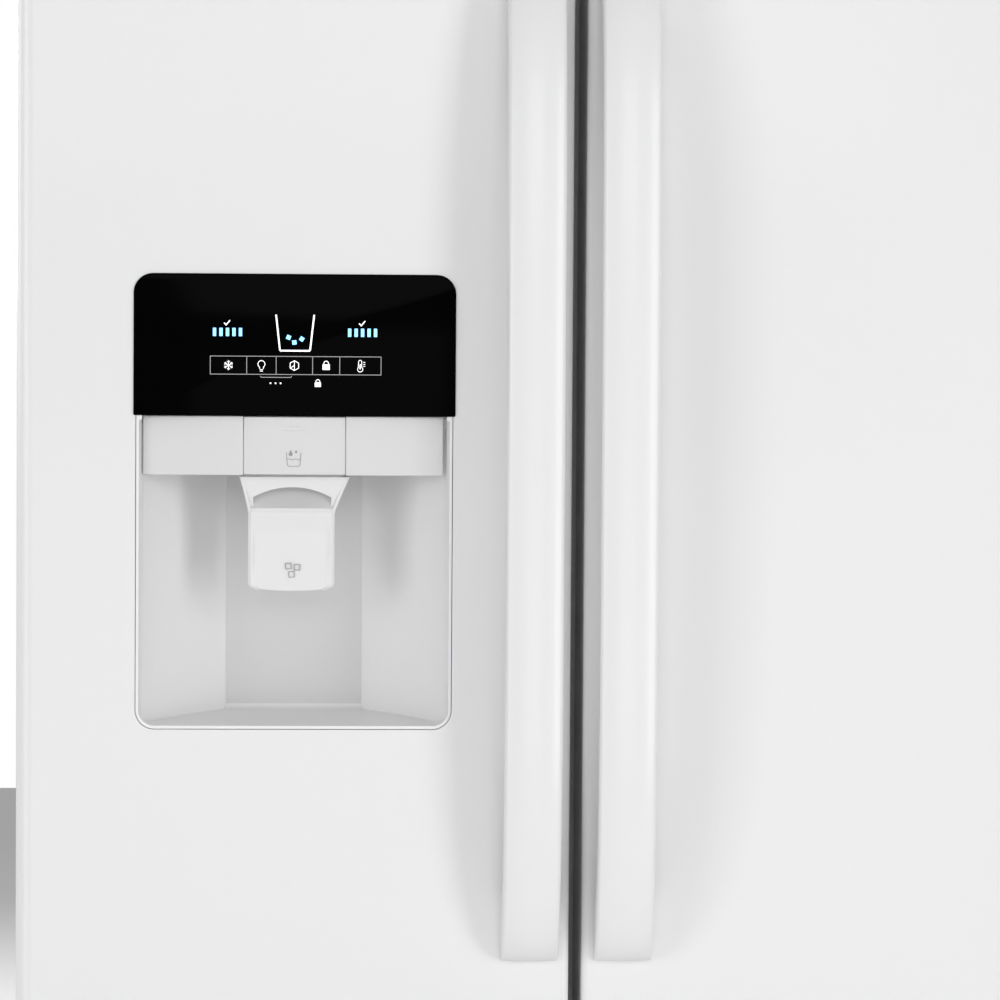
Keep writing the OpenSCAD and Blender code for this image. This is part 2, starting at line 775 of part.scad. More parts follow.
module dispenser_housing() color("white") difference() {
    union() {
        intersection() {
            translate([0, 0, niche_bottom]) linear_extrude(niche_h) niche_plan(2.5);
            translate([disp_x, 0, 0]) stand([y_face, y_face + niche_depth + 3], niche_bottom)
                round_rect(2 * niche_half - 1, 2 * niche_h, 13.5);
        }
        translate([disp_x, 0, 0]) stand([y_face, y_face + 8], niche_bottom + 0.5) difference() {
            round_rect(2 * niche_half - 1, 2 * niche_h, 13.5);
            translate([-200, niche_h - 0.5]) square([400, 400]);
        }
    }
    niche_hollow();
    ice_passage(chute_r + 3);
}

// The hollow of the niche, up to the ears that carry the ice flap's pin
module niche_hollow() difference() {
    intersection() {
        translate([0, 0, niche_bottom + 3]) linear_extrude(niche_h - 6) niche_plan(0);
        translate([disp_x, 0, 0]) stand([y_face - 2, y_face + niche_depth + 3], niche_bottom + 3)
            round_rect(2 * niche_half - 6, 2 * niche_h, 11.5);
    }
    for (i = [-1, 1]) difference() {
        span([disp_x + i * 19 - 2, disp_x + i * 19 + 2], [flap_axis[0] - 5, flap_axis[0] + 5],
            [flap_axis[1] - 5, panel_bottom]);
        rod_x([disp_x - 30, flap_axis[0], flap_axis[1]], 2.5 + fit, 60);
    }
}

// The white strip over the niche, with the ears that carry the pad's and the paddle's pins
module dispenser_fascia() color("white") difference() {
    union() {
        span([disp_x - 106.5, disp_x + 106.5], [y_face + 3, y_face + 6], [fascia_z, panel_bottom - 3]);
        for (i = [-1, 1]) {
            span([disp_x + i * 40.5 - 1.5, disp_x + i * 40.5 + 1.5], [y_face + 5, pad_axis[0] + 5],
                [pad_axis[1] - 5, pad_axis[1] + 5]);
            span([disp_x + i * 42.5 - 1.5, disp_x + i * 42.5 + 1.5], [y_face + 5, paddle_axis[0] + 5],
                [fascia_z, fascia_z + 9]);
        }
    }
    span([disp_x - 37, disp_x + 37], [y_face + 2, y_face + 7], [fascia_z - 1, panel_bottom - 5]);
    rod_x([disp_x - 50, pad_axis[0], pad_axis[1]], 2 + fit, 100);
    rod_x([disp_x - 50, paddle_axis[0], paddle_axis[1]], 2.5 + fit, 100);
}

module ice_chute() color("gainsboro") difference() {
    intersection() {
        ice_passage(chute_r + 3);
        passage_zone();
    }
    ice_passage(chute_r);
}

flap_axis = [-300, panel_bottom - 6];
pad_axis = [y_face + 9, panel_bottom - 9];
paddle_axis = [y_face + 30, fascia_z + 4];

module chute_flap() color("dimgray") {
    rod_z([disp_x, -327, flap_axis[1] - 3], 26, 5);
    span([disp_x - 14, disp_x + 14], [-327, flap_axis[0]], [flap_axis[1] - 3, flap_axis[1] + 2]);
    rod_x([disp_x - 22, flap_axis[0], flap_axis[1]], 2.5, 44);
}

module water_pad() color("white") {
    span([disp_x - 36.4, disp_x + 36.4], [y_face + 0.5, y_face + 4], [fascia_z + 1, panel_bottom - 6]);
    for (i = [-1, 1])
        span([disp_x + i * 30 - 2, disp_x + i * 30 + 2], [y_face + 3, pad_axis[0] + 3],
            [pad_axis[1] - 3, pad_axis[1] + 3]);
    rod_x([disp_x - 42, pad_axis[0], pad_axis[1]], 2, 84);
}

paddle_z = [1065, 1120];

// Front outline of the ice paddle, with its flared neck
module paddle_outline(g) {
    translate([0, paddle_z[0] + g]) round_rect(60.3 - 2 * g, paddle_z[1] - paddle_z[0], 4.3);
    polygon([[-30.1 + g, paddle_z[1] - 6], [30.1 - g, paddle_z[1] - 6], [30.1 - g, paddle_z[1] + 4],
        [37.9 - g, fascia_z - 3], [-37.9 + g, fascia_z - 3], [-30.1 + g, paddle_z[1] + 4]]);
}

// The arched mouth in the paddle's neck
module paddle_mouth() {
    mouth_half = 27.8;
    intersection() {
        translate([-mouth_half, 1124]) square([2 * mouth_half, 20]);
        translate([0, 1139.5 - 60]) circle(r = 60);
    }
}

module ice_paddle() color("white") {
    difference() {
        translate([disp_x, 0, 0]) stand([y_face + 12, y_face + 17], 0) paddle_outline(0);
        translate([disp_x, 0, 0]) stand([y_face + 11, y_face + 18], 0) paddle_mouth();
    }
    for (i = [-1, 1])
        span([disp_x + i * 28 - 2, disp_x + i * 28 + 2], [y_face + 16, y_face + 36],
            [paddle_z[1] + 4, fascia_z - 3]);
    for (i = [-1, 1])
        span([disp_x + i * 28 - 2, disp_x + i * 28 + 2], [paddle_axis[0] - 5, paddle_axis[0] + 5],
            [fascia_z - 4, fascia_z + 8]);
    rod_x([disp_x - 44, paddle_axis[0], paddle_axis[1]], 2.5, 88);
}

// ---------- Refrigerator door ----------

fridge_door_x = [seam_x + door_gap / 2, half_w];
fridge_door_r = [5, 12];
fridge_rib_x = [-1, 398];

module fridge_door_skin() color("whitesmoke") door_skin(fridge_door_x, fridge_door_r);

module fridge_door_liner() color("white") {
    door_liner(fridge_door_x);
    door_bars(fridge_rib_x, [575, rib_top]);
}

module fridge_door_foam() color("khaki") door_foam(fridge_door_x, fridge_door_r, hinge_x);

module fridge_door_caps() color("gainsboro") door_caps(fridge_door_x, fridge_door_r, hinge_x);

module fridge_gasket() color("lightgray")
    gasket_frame([fridge_door_x[0] + 4.5, half_w - 22], [96, case_top - 11]);

module fridge_handle() color("whitesmoke") handle_bar(seam_x + 33.6);

fridge_bin_x = [13, 384];
dairy_z = [1440, 1600];
lid_axis = [-222, dairy_z[1] - 18];

module fridge_bins() color("lightcyan", 0.6) {
    for (z = [595, 800, 1005, 1210])
        door_bin(fridge_bin_x, z, z == 595 ? 120 : 90);
    difference() {
        span(fridge_bin_x, [y_liner + 0.3, -215], dairy_z);
        span([fridge_bin_x[0] + 3, fridge_bin_x[1] - 3], [y_liner, -214], [dairy_z[0] + 3, dairy_z[1] - 3]);
        for (x = [fridge_bin_x[0] - 1, fridge_bin_x[1] - 4])
            rod_x([x, lid_axis[0], lid_axis[1]], 3 + fit, 5);
    }
}

module dairy_lid() color("lightcyan", 0.6) {
    lid_x = [fridge_bin_x[0] + 4, fridge_bin_x[1] - 4];
    span(lid_x, [-213.5, -210], [dairy_z[0] + 2, lid_axis[1] + 5]);
    for (x = [lid_x[0], lid_x[1] - 3])
        span([x, x + 3], [-226, -210], [lid_axis[1] - 4, lid_axis[1] + 4]);
    for (x = [fridge_bin_x[0] + 0.5, fridge_bin_x[1] - 6.5])
        rod_x([x, lid_axis[0], lid_axis[1]], 3, 6);
}

case_shell();
case_back();
case_foam();
freezer_liner();
fridge_liner();
base_frame();
toe_grille();
hinge_brackets();
drawer_rails();
hinge_covers();
compressor();
condenser();
condenser_shroud();
condenser_fan();
drain_pan();
machine_cover();
water_valve();
cord_gland();
evaporator();
evaporator_cover();
evaporator_fan();
shelf_ladders();
shelf_glass();
shelf_frames();
freezer_shelves();
ice_maker();
ice_bail_arm();
ice_bin();
ice_auger();
interior_lamps();
filter_housing();
water_filter();
rear_rollers();
leveling_leg_left();
leveling_leg_right();
upper_crisper();
lower_crisper();
freezer_basket();
freezer_door_skin();
freezer_door_liner();
freezer_door_foam();
freezer_door_caps();
freezer_gasket();
freezer_handle();
freezer_bins();
dispenser_panel();
dispenser_housing();
dispenser_fascia();
ice_chute();
chute_flap();
water_pad();
ice_paddle();
fridge_door_skin();
fridge_door_liner();
fridge_door_foam();
fridge_door_caps();
fridge_gasket();
fridge_handle();
fridge_bins();
dairy_lid();
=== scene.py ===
import bmesh
import bpy
import json
import math
from mathutils import Matrix, Vector


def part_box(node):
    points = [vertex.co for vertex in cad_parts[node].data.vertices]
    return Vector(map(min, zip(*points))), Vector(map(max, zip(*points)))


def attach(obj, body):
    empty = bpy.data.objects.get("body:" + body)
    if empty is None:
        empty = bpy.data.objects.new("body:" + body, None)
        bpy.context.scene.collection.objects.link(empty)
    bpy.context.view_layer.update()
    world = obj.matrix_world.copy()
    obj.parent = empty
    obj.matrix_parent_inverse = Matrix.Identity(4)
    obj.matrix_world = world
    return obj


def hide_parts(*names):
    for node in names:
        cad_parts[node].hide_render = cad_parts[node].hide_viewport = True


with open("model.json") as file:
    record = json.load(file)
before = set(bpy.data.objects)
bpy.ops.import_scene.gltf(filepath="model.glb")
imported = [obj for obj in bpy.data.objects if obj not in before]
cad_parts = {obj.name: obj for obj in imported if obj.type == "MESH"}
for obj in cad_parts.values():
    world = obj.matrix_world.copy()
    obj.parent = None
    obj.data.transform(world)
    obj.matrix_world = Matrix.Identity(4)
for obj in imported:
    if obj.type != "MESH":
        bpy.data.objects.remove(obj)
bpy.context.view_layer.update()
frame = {"nodes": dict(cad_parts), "record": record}
nodes = frame["nodes"]
mm = 0.001
print("frame loaded with", len(nodes), "nodes")


# places taken from the frame
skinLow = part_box("freezer_door_skin")[0]
panelLow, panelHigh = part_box("dispenser_panel")
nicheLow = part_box("dispenser_housing")[0]
faceY = skinLow.y
dispX = (panelLow.x + panelHigh.x) / 2


def newMaterial(name):
    mat = bpy.data.materials.new(name)
    mat.use_nodes = True
    return mat, mat.node_tree.nodes, mat.node_tree.links


def noiseNode(tree, scale, detail=3.0, stretch=(1, 1, 1)):
    coords = tree.nodes.new("ShaderNodeTexCoord")
    mapping = tree.nodes.new("ShaderNodeMapping")
    mapping.inputs["Scale"].default_value = stretch
    noise = tree.nodes.new("ShaderNodeTexNoise")
    noise.inputs["Scale"].default_value = scale
    noise.inputs["Detail"].default_value = detail
    tree.links.new(coords.outputs["Object"], mapping.inputs["Vector"])
    tree.links.new(mapping.outputs["Vector"], noise.inputs["Vector"])
    return noise


def spread(tree, source, low, high):
    # stretches a noise value to run from low to high
    span = tree.nodes.new("ShaderNodeMapRange")
    span.inputs["From Min"].default_value = 0.3
    span.inputs["From Max"].default_value = 0.7
    span.inputs["To Min"].default_value = low
    span.inputs["To Max"].default_value = high
    tree.links.new(source, span.inputs["Value"])
    return span.outputs["Result"]


def finish(name, color, rough, metal=0.0, coat=0.0, coatRough=0.1, grain=400, grainDepth=0.02,
           patch=4, shade=0.02, stretch=(1, 1, 1), alpha=1.0, glow=None, glowPower=0.0, ior=1.5):
    # one moulded, painted or metal finish: patchy colour, patchy gloss and a fine surface grain
    mat, tree, links = newMaterial(name)
    bsdf = tree["Principled BSDF"]
    bsdf.inputs["Metallic"].default_value = metal
    bsdf.inputs["Coat Weight"].default_value = coat
    bsdf.inputs["Coat Roughness"].default_value = coatRough
    bsdf.inputs["IOR"].default_value = ior
    bsdf.inputs["Alpha"].default_value = alpha
    patches = noiseNode(mat.node_tree, patch)
    mix = tree.new("ShaderNodeMix")
    mix.data_type = "RGBA"
    dark = [c * (1 - shade) for c in color[:3]] + [1]
    mix.inputs["A"].default_value = dark
    mix.inputs["B"].default_value = list(color[:3]) + [1]
    links.new(patches.outputs["Fac"], mix.inputs["Factor"])
    links.new(mix.outputs["Result"], bsdf.inputs["Base Color"])
    fine = noiseNode(mat.node_tree, grain, 2.0, stretch)
    gloss = spread(mat.node_tree, fine.outputs["Fac"], rough * 0.9, rough * 1.12)
    links.new(gloss, bsdf.inputs["Roughness"])
    bump = tree.new("ShaderNodeBump")
    bump.inputs["Strength"].default_value = grainDepth
    bump.inputs["Distance"].default_value = 0.0004
    links.new(fine.outputs["Fac"], bump.inputs["Height"])
    links.new(bump.outputs["Normal"], bsdf.inputs["Normal"])
    if glow:
        bsdf.inputs["Emission Color"].default_value = list(glow) + [1]
        bsdf.inputs["Emission Strength"].default_value = glowPower
    if alpha < 1:
        mat.surface_render_method = "BLENDED"
    return mat


whiteTone = {
    "enamel": (0.80, 0.80, 0.805),
    "plastic": (0.86, 0.86, 0.86),
    # strip: the white plastic darkened as painted shade for the parts under the panel in the niche
    "strip": (0.70, 0.70, 0.70),
    # paddle: the white plastic darkened as painted shade inside the niche
    "paddle": (0.78, 0.78, 0.78),
    "liner": (0.83, 0.83, 0.82),
}

finishes = {
    "white_enamel": finish("gloss_enamel", whiteTone["enamel"], 0.40, coat=0.25, coatRough=0.14,
                           grain=380, grainDepth=0.05, shade=0.012),
    "zinc_steel": finish("zinc_plate", (0.56, 0.57, 0.58), 0.42, metal=1.0, grain=60, grainDepth=0.12,
                         patch=25, shade=0.22, stretch=(1, 1, 14)),
    "white_plastic": finish("satin_white_moulding", whiteTone["plastic"], 0.36, grain=1400, grainDepth=0.07,
                            shade=0.015),
    "liner_plastic": finish("liner_moulding", whiteTone["liner"], 0.42, grain=900, grainDepth=0.06,
                            shade=0.02),
    "black_panel": finish("black_glass_panel", (0.0012, 0.0012, 0.0014), 0.08, coat=0.0, coatRough=0.02,
                          grain=60, grainDepth=0.004, shade=0.2, ior=1.06),
    "insulation_foam": finish("foamed_insulation", (0.74, 0.66, 0.40), 0.9, grain=700, grainDepth=0.8,
                              patch=40, shade=0.15),
    "clear_plastic": finish("clear_moulding", (0.88, 0.93, 0.95), 0.12, alpha=0.38, grain=200,
                            grainDepth=0.03, shade=0.03),
    "shelf_glass": finish("shelf_pane", (0.80, 0.92, 0.90), 0.05, alpha=0.30, grain=120,
                          grainDepth=0.01, shade=0.02),
    "gasket_rubber": finish("gasket_vinyl", (0.60, 0.60, 0.60), 0.6, grain=800, grainDepth=0.25,
                            shade=0.06),
    "black_enamel": finish("black_stove_paint", (0.012, 0.012, 0.013), 0.38, grain=500, grainDepth=0.2,
                           shade=0.25),
    "dark_plastic": finish("dark_moulding", (0.045, 0.045, 0.048), 0.55, grain=900, grainDepth=0.2,
                           shade=0.15),
    "bare_aluminium": finish("bare_aluminium", (0.72, 0.73, 0.74), 0.35, metal=1.0, grain=300,
                             grainDepth=0.15, patch=30, shade=0.12),
    "bright_wire": finish("bright_wire", (0.74, 0.74, 0.75), 0.16, metal=1.0, grain=300, grainDepth=0.05,
                          patch=40, shade=0.08),
    "white_wire": finish("coated_wire", (0.80, 0.80, 0.79), 0.32, grain=600, grainDepth=0.1, shade=0.03),
    "lamp_lens": finish("lamp_lens", (0.9, 0.9, 0.87), 0.4, grain=500, grainDepth=0.2, shade=0.02,
                        glow=(1.0, 0.97, 0.90), glowPower=0.5),
    "cap_plastic": finish("grey_white_moulding", (0.66, 0.66, 0.66), 0.45, grain=1000, grainDepth=0.12,
                          shade=0.03),
}
iceLight = finish("ice_blue_light", (0.25, 0.62, 0.95), 0.4, grain=600, grainDepth=0.02, shade=0.05,
                  glow=(0.22, 0.60, 1.0), glowPower=1.35)
whiteLight = finish("white_light", (0.85, 0.85, 0.85), 0.4, grain=600, grainDepth=0.02, shade=0.03,
                    glow=(1.0, 1.0, 1.0), glowPower=0.85)
dimPrint = finish("grey_print", (0.42, 0.42, 0.43), 0.5, grain=600, grainDepth=0.02, shade=0.08,
                  glow=(0.8, 0.8, 0.85), glowPower=0.12)
greyInk = finish("grey_ink", (0.33, 0.33, 0.34), 0.5, grain=700, grainDepth=0.02, shade=0.1)
# the white plastic again, darker as painted shade on the strip, the water pad and the back wall of the niche
nicheShadeWhite = finish("niche_shade_moulding", whiteTone["strip"], 0.34, grain=1400, grainDepth=0.07, shade=0.015)
# the white plastic again, darker as painted shade on the ice paddle inside the niche
paddleShadeWhite = finish("paddle_shade_moulding", whiteTone["paddle"], 0.34, grain=1400, grainDepth=0.07, shade=0.015)


def meshObject(name, verts, faces, smooth=True):
    mesh = bpy.data.meshes.new(name)
    mesh.from_pydata([tuple(v) for v in verts], [], faces)
    mesh.validate()
    obj = bpy.data.objects.new(name, mesh)
    bpy.context.scene.collection.objects.link(obj)
    bm = bmesh.new()
    bm.from_mesh(mesh)
    bmesh.ops.recalc_face_normals(bm, faces=bm.faces)
    bm.to_mesh(mesh)
    bm.free()
    if smooth:
        mesh.polygons.foreach_set("use_smooth", [True] * len(mesh.polygons))
    return obj


def applyModifiers(obj):
    graph = bpy.context.evaluated_depsgraph_get()
    mesh = bpy.data.meshes.new_from_object(obj.evaluated_get(graph))
    obj.modifiers.clear()
    obj.data = mesh


def smoothByAngle(obj, degrees=32):
    # smooth faces with sharp edges kept where two faces meet at a clear angle
    mesh = obj.data
    bm = bmesh.new()
    bm.from_mesh(mesh)
    for f in bm.faces:
        f.smooth = True
    for e in bm.edges:
        if len(e.link_faces) == 2:
            e.smooth = e.calc_face_angle() < math.radians(degrees)
    bm.to_mesh(mesh)
    bm.free()


def bevelled(obj, width, segments=2, angle=35):
    bevel = obj.modifiers.new("edge", "BEVEL")
    bevel.width = width
    bevel.segments = segments
    bevel.limit_method = "ANGLE"
    bevel.angle_limit = math.radians(angle)
    applyModifiers(obj)
    smoothByAngle(obj)
    return obj


def cut(obj, cutter, operation="DIFFERENCE"):
    mod = obj.modifiers.new("cut", "BOOLEAN")
    mod.operation = operation
    mod.object = cutter
    mod.solver = "EXACT"
    applyModifiers(obj)
    bpy.data.objects.remove(cutter)
    return obj


def boxObject(name, low, high, width=0.0):
    corners = [(x, y, z) for z in (low[2], high[2]) for y in (low[1], high[1]) for x in (low[0], high[0])]
    faces = [(0, 2, 3, 1), (4, 5, 7, 6), (0, 1, 5, 4), (2, 6, 7, 3), (0, 4, 6, 2), (1, 3, 7, 5)]
    obj = meshObject(name, corners, faces, smooth=False)
    if width:
        bevelled(obj, width)
    return obj


def plate(name, outline, front, back, width=0.0):
    # a plate facing -Y from an outline of (x, z) points
    n = len(outline)
    verts = [(x, front, z) for x, z in outline] + [(x, back, z) for x, z in outline]
    faces = [tuple(range(n)), tuple(range(2 * n - 1, n - 1, -1))]
    faces += [(i, (i + 1) % n, n + (i + 1) % n, n + i) for i in range(n)]
    obj = meshObject(name, verts, faces, smooth=False)
    if width:
        bevelled(obj, width)
    return obj


def tube(name, points, radius, sides=12):
    curve = bpy.data.curves.new(name, "CURVE")
    curve.dimensions = "3D"
    curve.bevel_depth = radius
    curve.bevel_resolution = max(1, sides // 4 - 1)
    curve.use_fill_caps = True
    line = curve.splines.new("POLY")
    line.points.add(len(points) - 1)
    for p, q in zip(line.points, points):
        p.co = (*q, 1)
    obj = bpy.data.objects.new(name, curve)
    bpy.context.scene.collection.objects.link(obj)
    applied = bpy.data.objects.new(name, bpy.data.meshes.new_from_object(obj))
    bpy.data.objects.remove(obj)
    bpy.context.scene.collection.objects.link(applied)
    applied.name = name
    applied.data.polygons.foreach_set("use_smooth", [True] * len(applied.data.polygons))
    return applied


def joined(name, parts):
    # one object from several
    bm = bmesh.new()
    for part in parts:
        part.data.transform(part.matrix_world)
        bm.from_mesh(part.data)
    mesh = bpy.data.meshes.new(name)
    bm.to_mesh(mesh)
    bm.free()
    for part in parts:
        bpy.data.objects.remove(part)
    obj = bpy.data.objects.new(name, mesh)
    bpy.context.scene.collection.objects.link(obj)
    return obj


def paint(obj, mat):
    obj.data.materials.clear()
    obj.data.materials.append(mat)


def place(obj, body, slotName, mat=None, instead=()):
    paint(obj, mat or finishes[slotName])
    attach(obj, body)
    if instead:
        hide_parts(*instead)
    return obj


def arc(cx, cz, r, start, end, steps=8):
    angles = [math.radians(start + (end - start) * i / steps) for i in range(steps + 1)]
    return [(cx + r * math.cos(a), cz + r * math.sin(a)) for a in angles]


def roundedOutline(x0, x1, z0, z1, r0, r1, steps=10):
    # counter-clockwise from the lower right corner: r0 rounds the bottom corners, r1 the top ones
    pts = []
    pts += arc(x1 - r0, z0 + r0, r0, -90, 0, steps) if r0 else [(x1, z0)]
    pts += arc(x1 - r1, z1 - r1, r1, 0, 90, steps) if r1 else [(x1, z1)]
    pts += arc(x0 + r1, z1 - r1, r1, 90, 180, steps) if r1 else [(x0, z1)]
    pts += arc(x0 + r0, z0 + r0, r0, 180, 270, steps) if r0 else [(x0, z0)]
    return pts


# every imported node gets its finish, and most get soft edges
slotOf = {s["node"]: s["material_slot"] for s in frame["record"]["subparts"]}
edgeWidth = {
    "case_shell": 1.2, "toe_grille": 0.6, "hinge_covers": 1.6, "hinge_brackets": 0.6, "drawer_rails": 0.8,
    "upper_crisper": 1.2, "lower_crisper": 1.2, "freezer_basket": 1.2, "ice_bin": 1.4, "ice_maker": 1.4,
    "shelf_frames": 1.4, "shelf_glass": 0.6, "freezer_bins": 0.9, "fridge_bins": 0.9, "dairy_lid": 0.9,
    "freezer_door_caps": 0.8, "fridge_door_caps": 0.8, "machine_cover": 0.3, "drain_pan": 0.5,
    "water_valve": 0.8, "interior_lamps": 1.5, "freezer_door_liner": 1.8, "fridge_door_liner": 1.8,
    "water_filter": 1.0, "rear_rollers": 1.0, "leveling_leg_left": 1.0, "leveling_leg_right": 1.0,
}
for nodeName, obj in nodes.items():
    paint(obj, finishes[slotOf[nodeName]])
    if nodeName in edgeWidth:
        weld = obj.modifiers.new("weld", "WELD")
        weld.merge_threshold = 0.00002
        bevel = obj.modifiers.new("edge", "BEVEL")
        bevel.width = edgeWidth[nodeName] * mm
        bevel.segments = 3
        bevel.limit_method = "ANGLE"
        bevel.angle_limit = math.radians(40)
        bevel.harden_normals = True
print("finishes on all nodes")


# bar handles, in millimetres
barShape = {
    "crown": 4.2, "frontRound": 2.6, "backRound": 3.0, "sink": 0.2, "thinnest": 1.2,
    "foot": 45, "depth": 15, "stations": 56, "squareness": 4, "fullness": 0.4,
}


def barRise(t, reach):
    # how far the bar stands off at a share t of its half length
    return reach * max(0.0, 1 - abs(t) ** barShape["squareness"]) ** barShape["fullness"]


def barSection(width, depth, crown, rf, rb):
    # closed section of (x, out) points: out is 0 at the back and grows towards the front
    h = width / 2
    rf = min(rf, depth * 0.6)
    rb = min(rb, depth * 0.35)
    pts = [(-h + rb - rb * math.cos(math.radians(a)), rb - rb * math.sin(math.radians(a)))
           for a in (90, 60, 30, 0)]
    front = [(-h + rf - rf * math.cos(math.radians(a)), depth - crown - rf + rf * math.sin(math.radians(a)))
             for a in (0, 15, 30, 45, 60, 75, 90)]
    pts += front
    for i in range(1, 8):
        x = (-h + rf) + (2 * h - 2 * rf) * i / 8
        pts.append((x, depth - crown * (x / h) ** 2))
    lift = [(x, out + crown * (1 - (x / h) ** 2)) for x, out in front]
    pts[4:11] = [(x, max(out, min(liftOut, depth - crown * (x / h) ** 2)))
                 for (x, out), (_, liftOut) in zip(front, lift)]
    pts += [(-x, out) for x, out in reversed(pts[4:11])]
    pts += [(-x, out) for x, out in reversed(pts[:4])]
    return pts


def barHandle(node, body):
    low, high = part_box(node)
    width = high.x - low.x
    midX = (low.x + high.x) / 2
    midZ = (low.z + high.z) / 2
    reach = faceY - low.y
    length = high.z - low.z
    barDepth = barShape["depth"] * mm
    innerLength = length - 2 * barShape["foot"] * mm
    stations = []
    count = barShape["stations"]
    for i in range(count + 1):
        stations.append(math.sin(math.pi / 2 * (2 * i / count - 1)) * length / 2 * 0.9995)
    edge = innerLength / 2
    for d in (-6, -3, -1.2, -0.3, 0.3, 2.0):
        stations += [edge + d * mm, -edge - d * mm]
    stations = sorted(stations)
    rings = []
    for z in stations:
        outer = barRise(z / (length / 2), reach)
        inner = -barShape["sink"] * mm
        if abs(z) < edge:
            inner = barRise(z / (innerLength / 2), reach - barDepth)
        outer = max(outer, barShape["thinnest"] * mm)
        section = barSection(width, outer - inner, min(barShape["crown"] * mm, (outer - inner) * 0.3),
                             barShape["frontRound"] * mm, barShape["backRound"] * mm)
        rings.append([(midX + x, faceY - inner - out, midZ + z) for x, out in section])
    n = len(rings[0])
    verts = [p for ring in rings for p in ring]
    faces = []
    for r in range(len(rings) - 1):
        for i in range(n):
            a, b = r * n + i, r * n + (i + 1) % n
            faces.append((a, b, b + n, a + n))
    faces.append(tuple(range(n)))
    faces.append(tuple(range(len(verts) - 1, len(verts) - n - 1, -1)))
    obj = meshObject(node + "_bar", verts, faces)
    smoothByAngle(obj, 50)
    return place(obj, body, "white_enamel", instead=(node,))


barHandle("freezer_handle", "freezer_door")
barHandle("fridge_handle", "fridge_door")
print("handles made")


# the dispenser niche, in millimetres
niche = {
    "half": 113.0, "rim": 1.8, "depth": 98.0, "backHalf": 50.0, "sweep": 1.5, "cornerRound": 13.5,
    "floorRise": 3.6, "lip": 2.6, "wall": 2.5, "steps": 40,
    "trimGap": 0.07, "ceiling": 3, "edge": 0.7, "floorZone": 40, "coveRound": 4,
    "roomHalf": 109, "roomDepth": 14, "roomHeight": 9,
}


def nicheHalf(depth):
    # half width of the niche's hollow at a depth behind the door's face, in millimetres
    rim = niche["half"] - niche["rim"]
    share = max(0.0, depth) / niche["depth"]
    return rim - (rim - niche["backHalf"]) * share ** niche["sweep"]


def extruded(name, plan, z0, z1):
    # an upright solid from a plan of (x, y) points
    n = len(plan)
    verts = [(x, y, z0) for x, y in plan] + [(x, y, z1) for x, y in plan]
    faces = [tuple(range(n - 1, -1, -1)), tuple(range(n, 2 * n))]
    faces += [(i, (i + 1) % n, n + (i + 1) % n, n + i) for i in range(n)]
    return meshObject(name, verts, faces, smooth=False)


def nichePlan(grow, frontExtra):
    steps = niche["steps"]
    left, right = [], []
    for i in range(steps + 1):
        depth = niche["depth"] * i / steps
        half = (nicheHalf(depth) + grow) * mm
        y = faceY + (depth + (grow if i == steps else 0)) * mm
        if i == 0:
            y -= frontExtra
        left.append((dispX - half, y))
        right.append((dispX + half, y))
    return left + right[::-1]


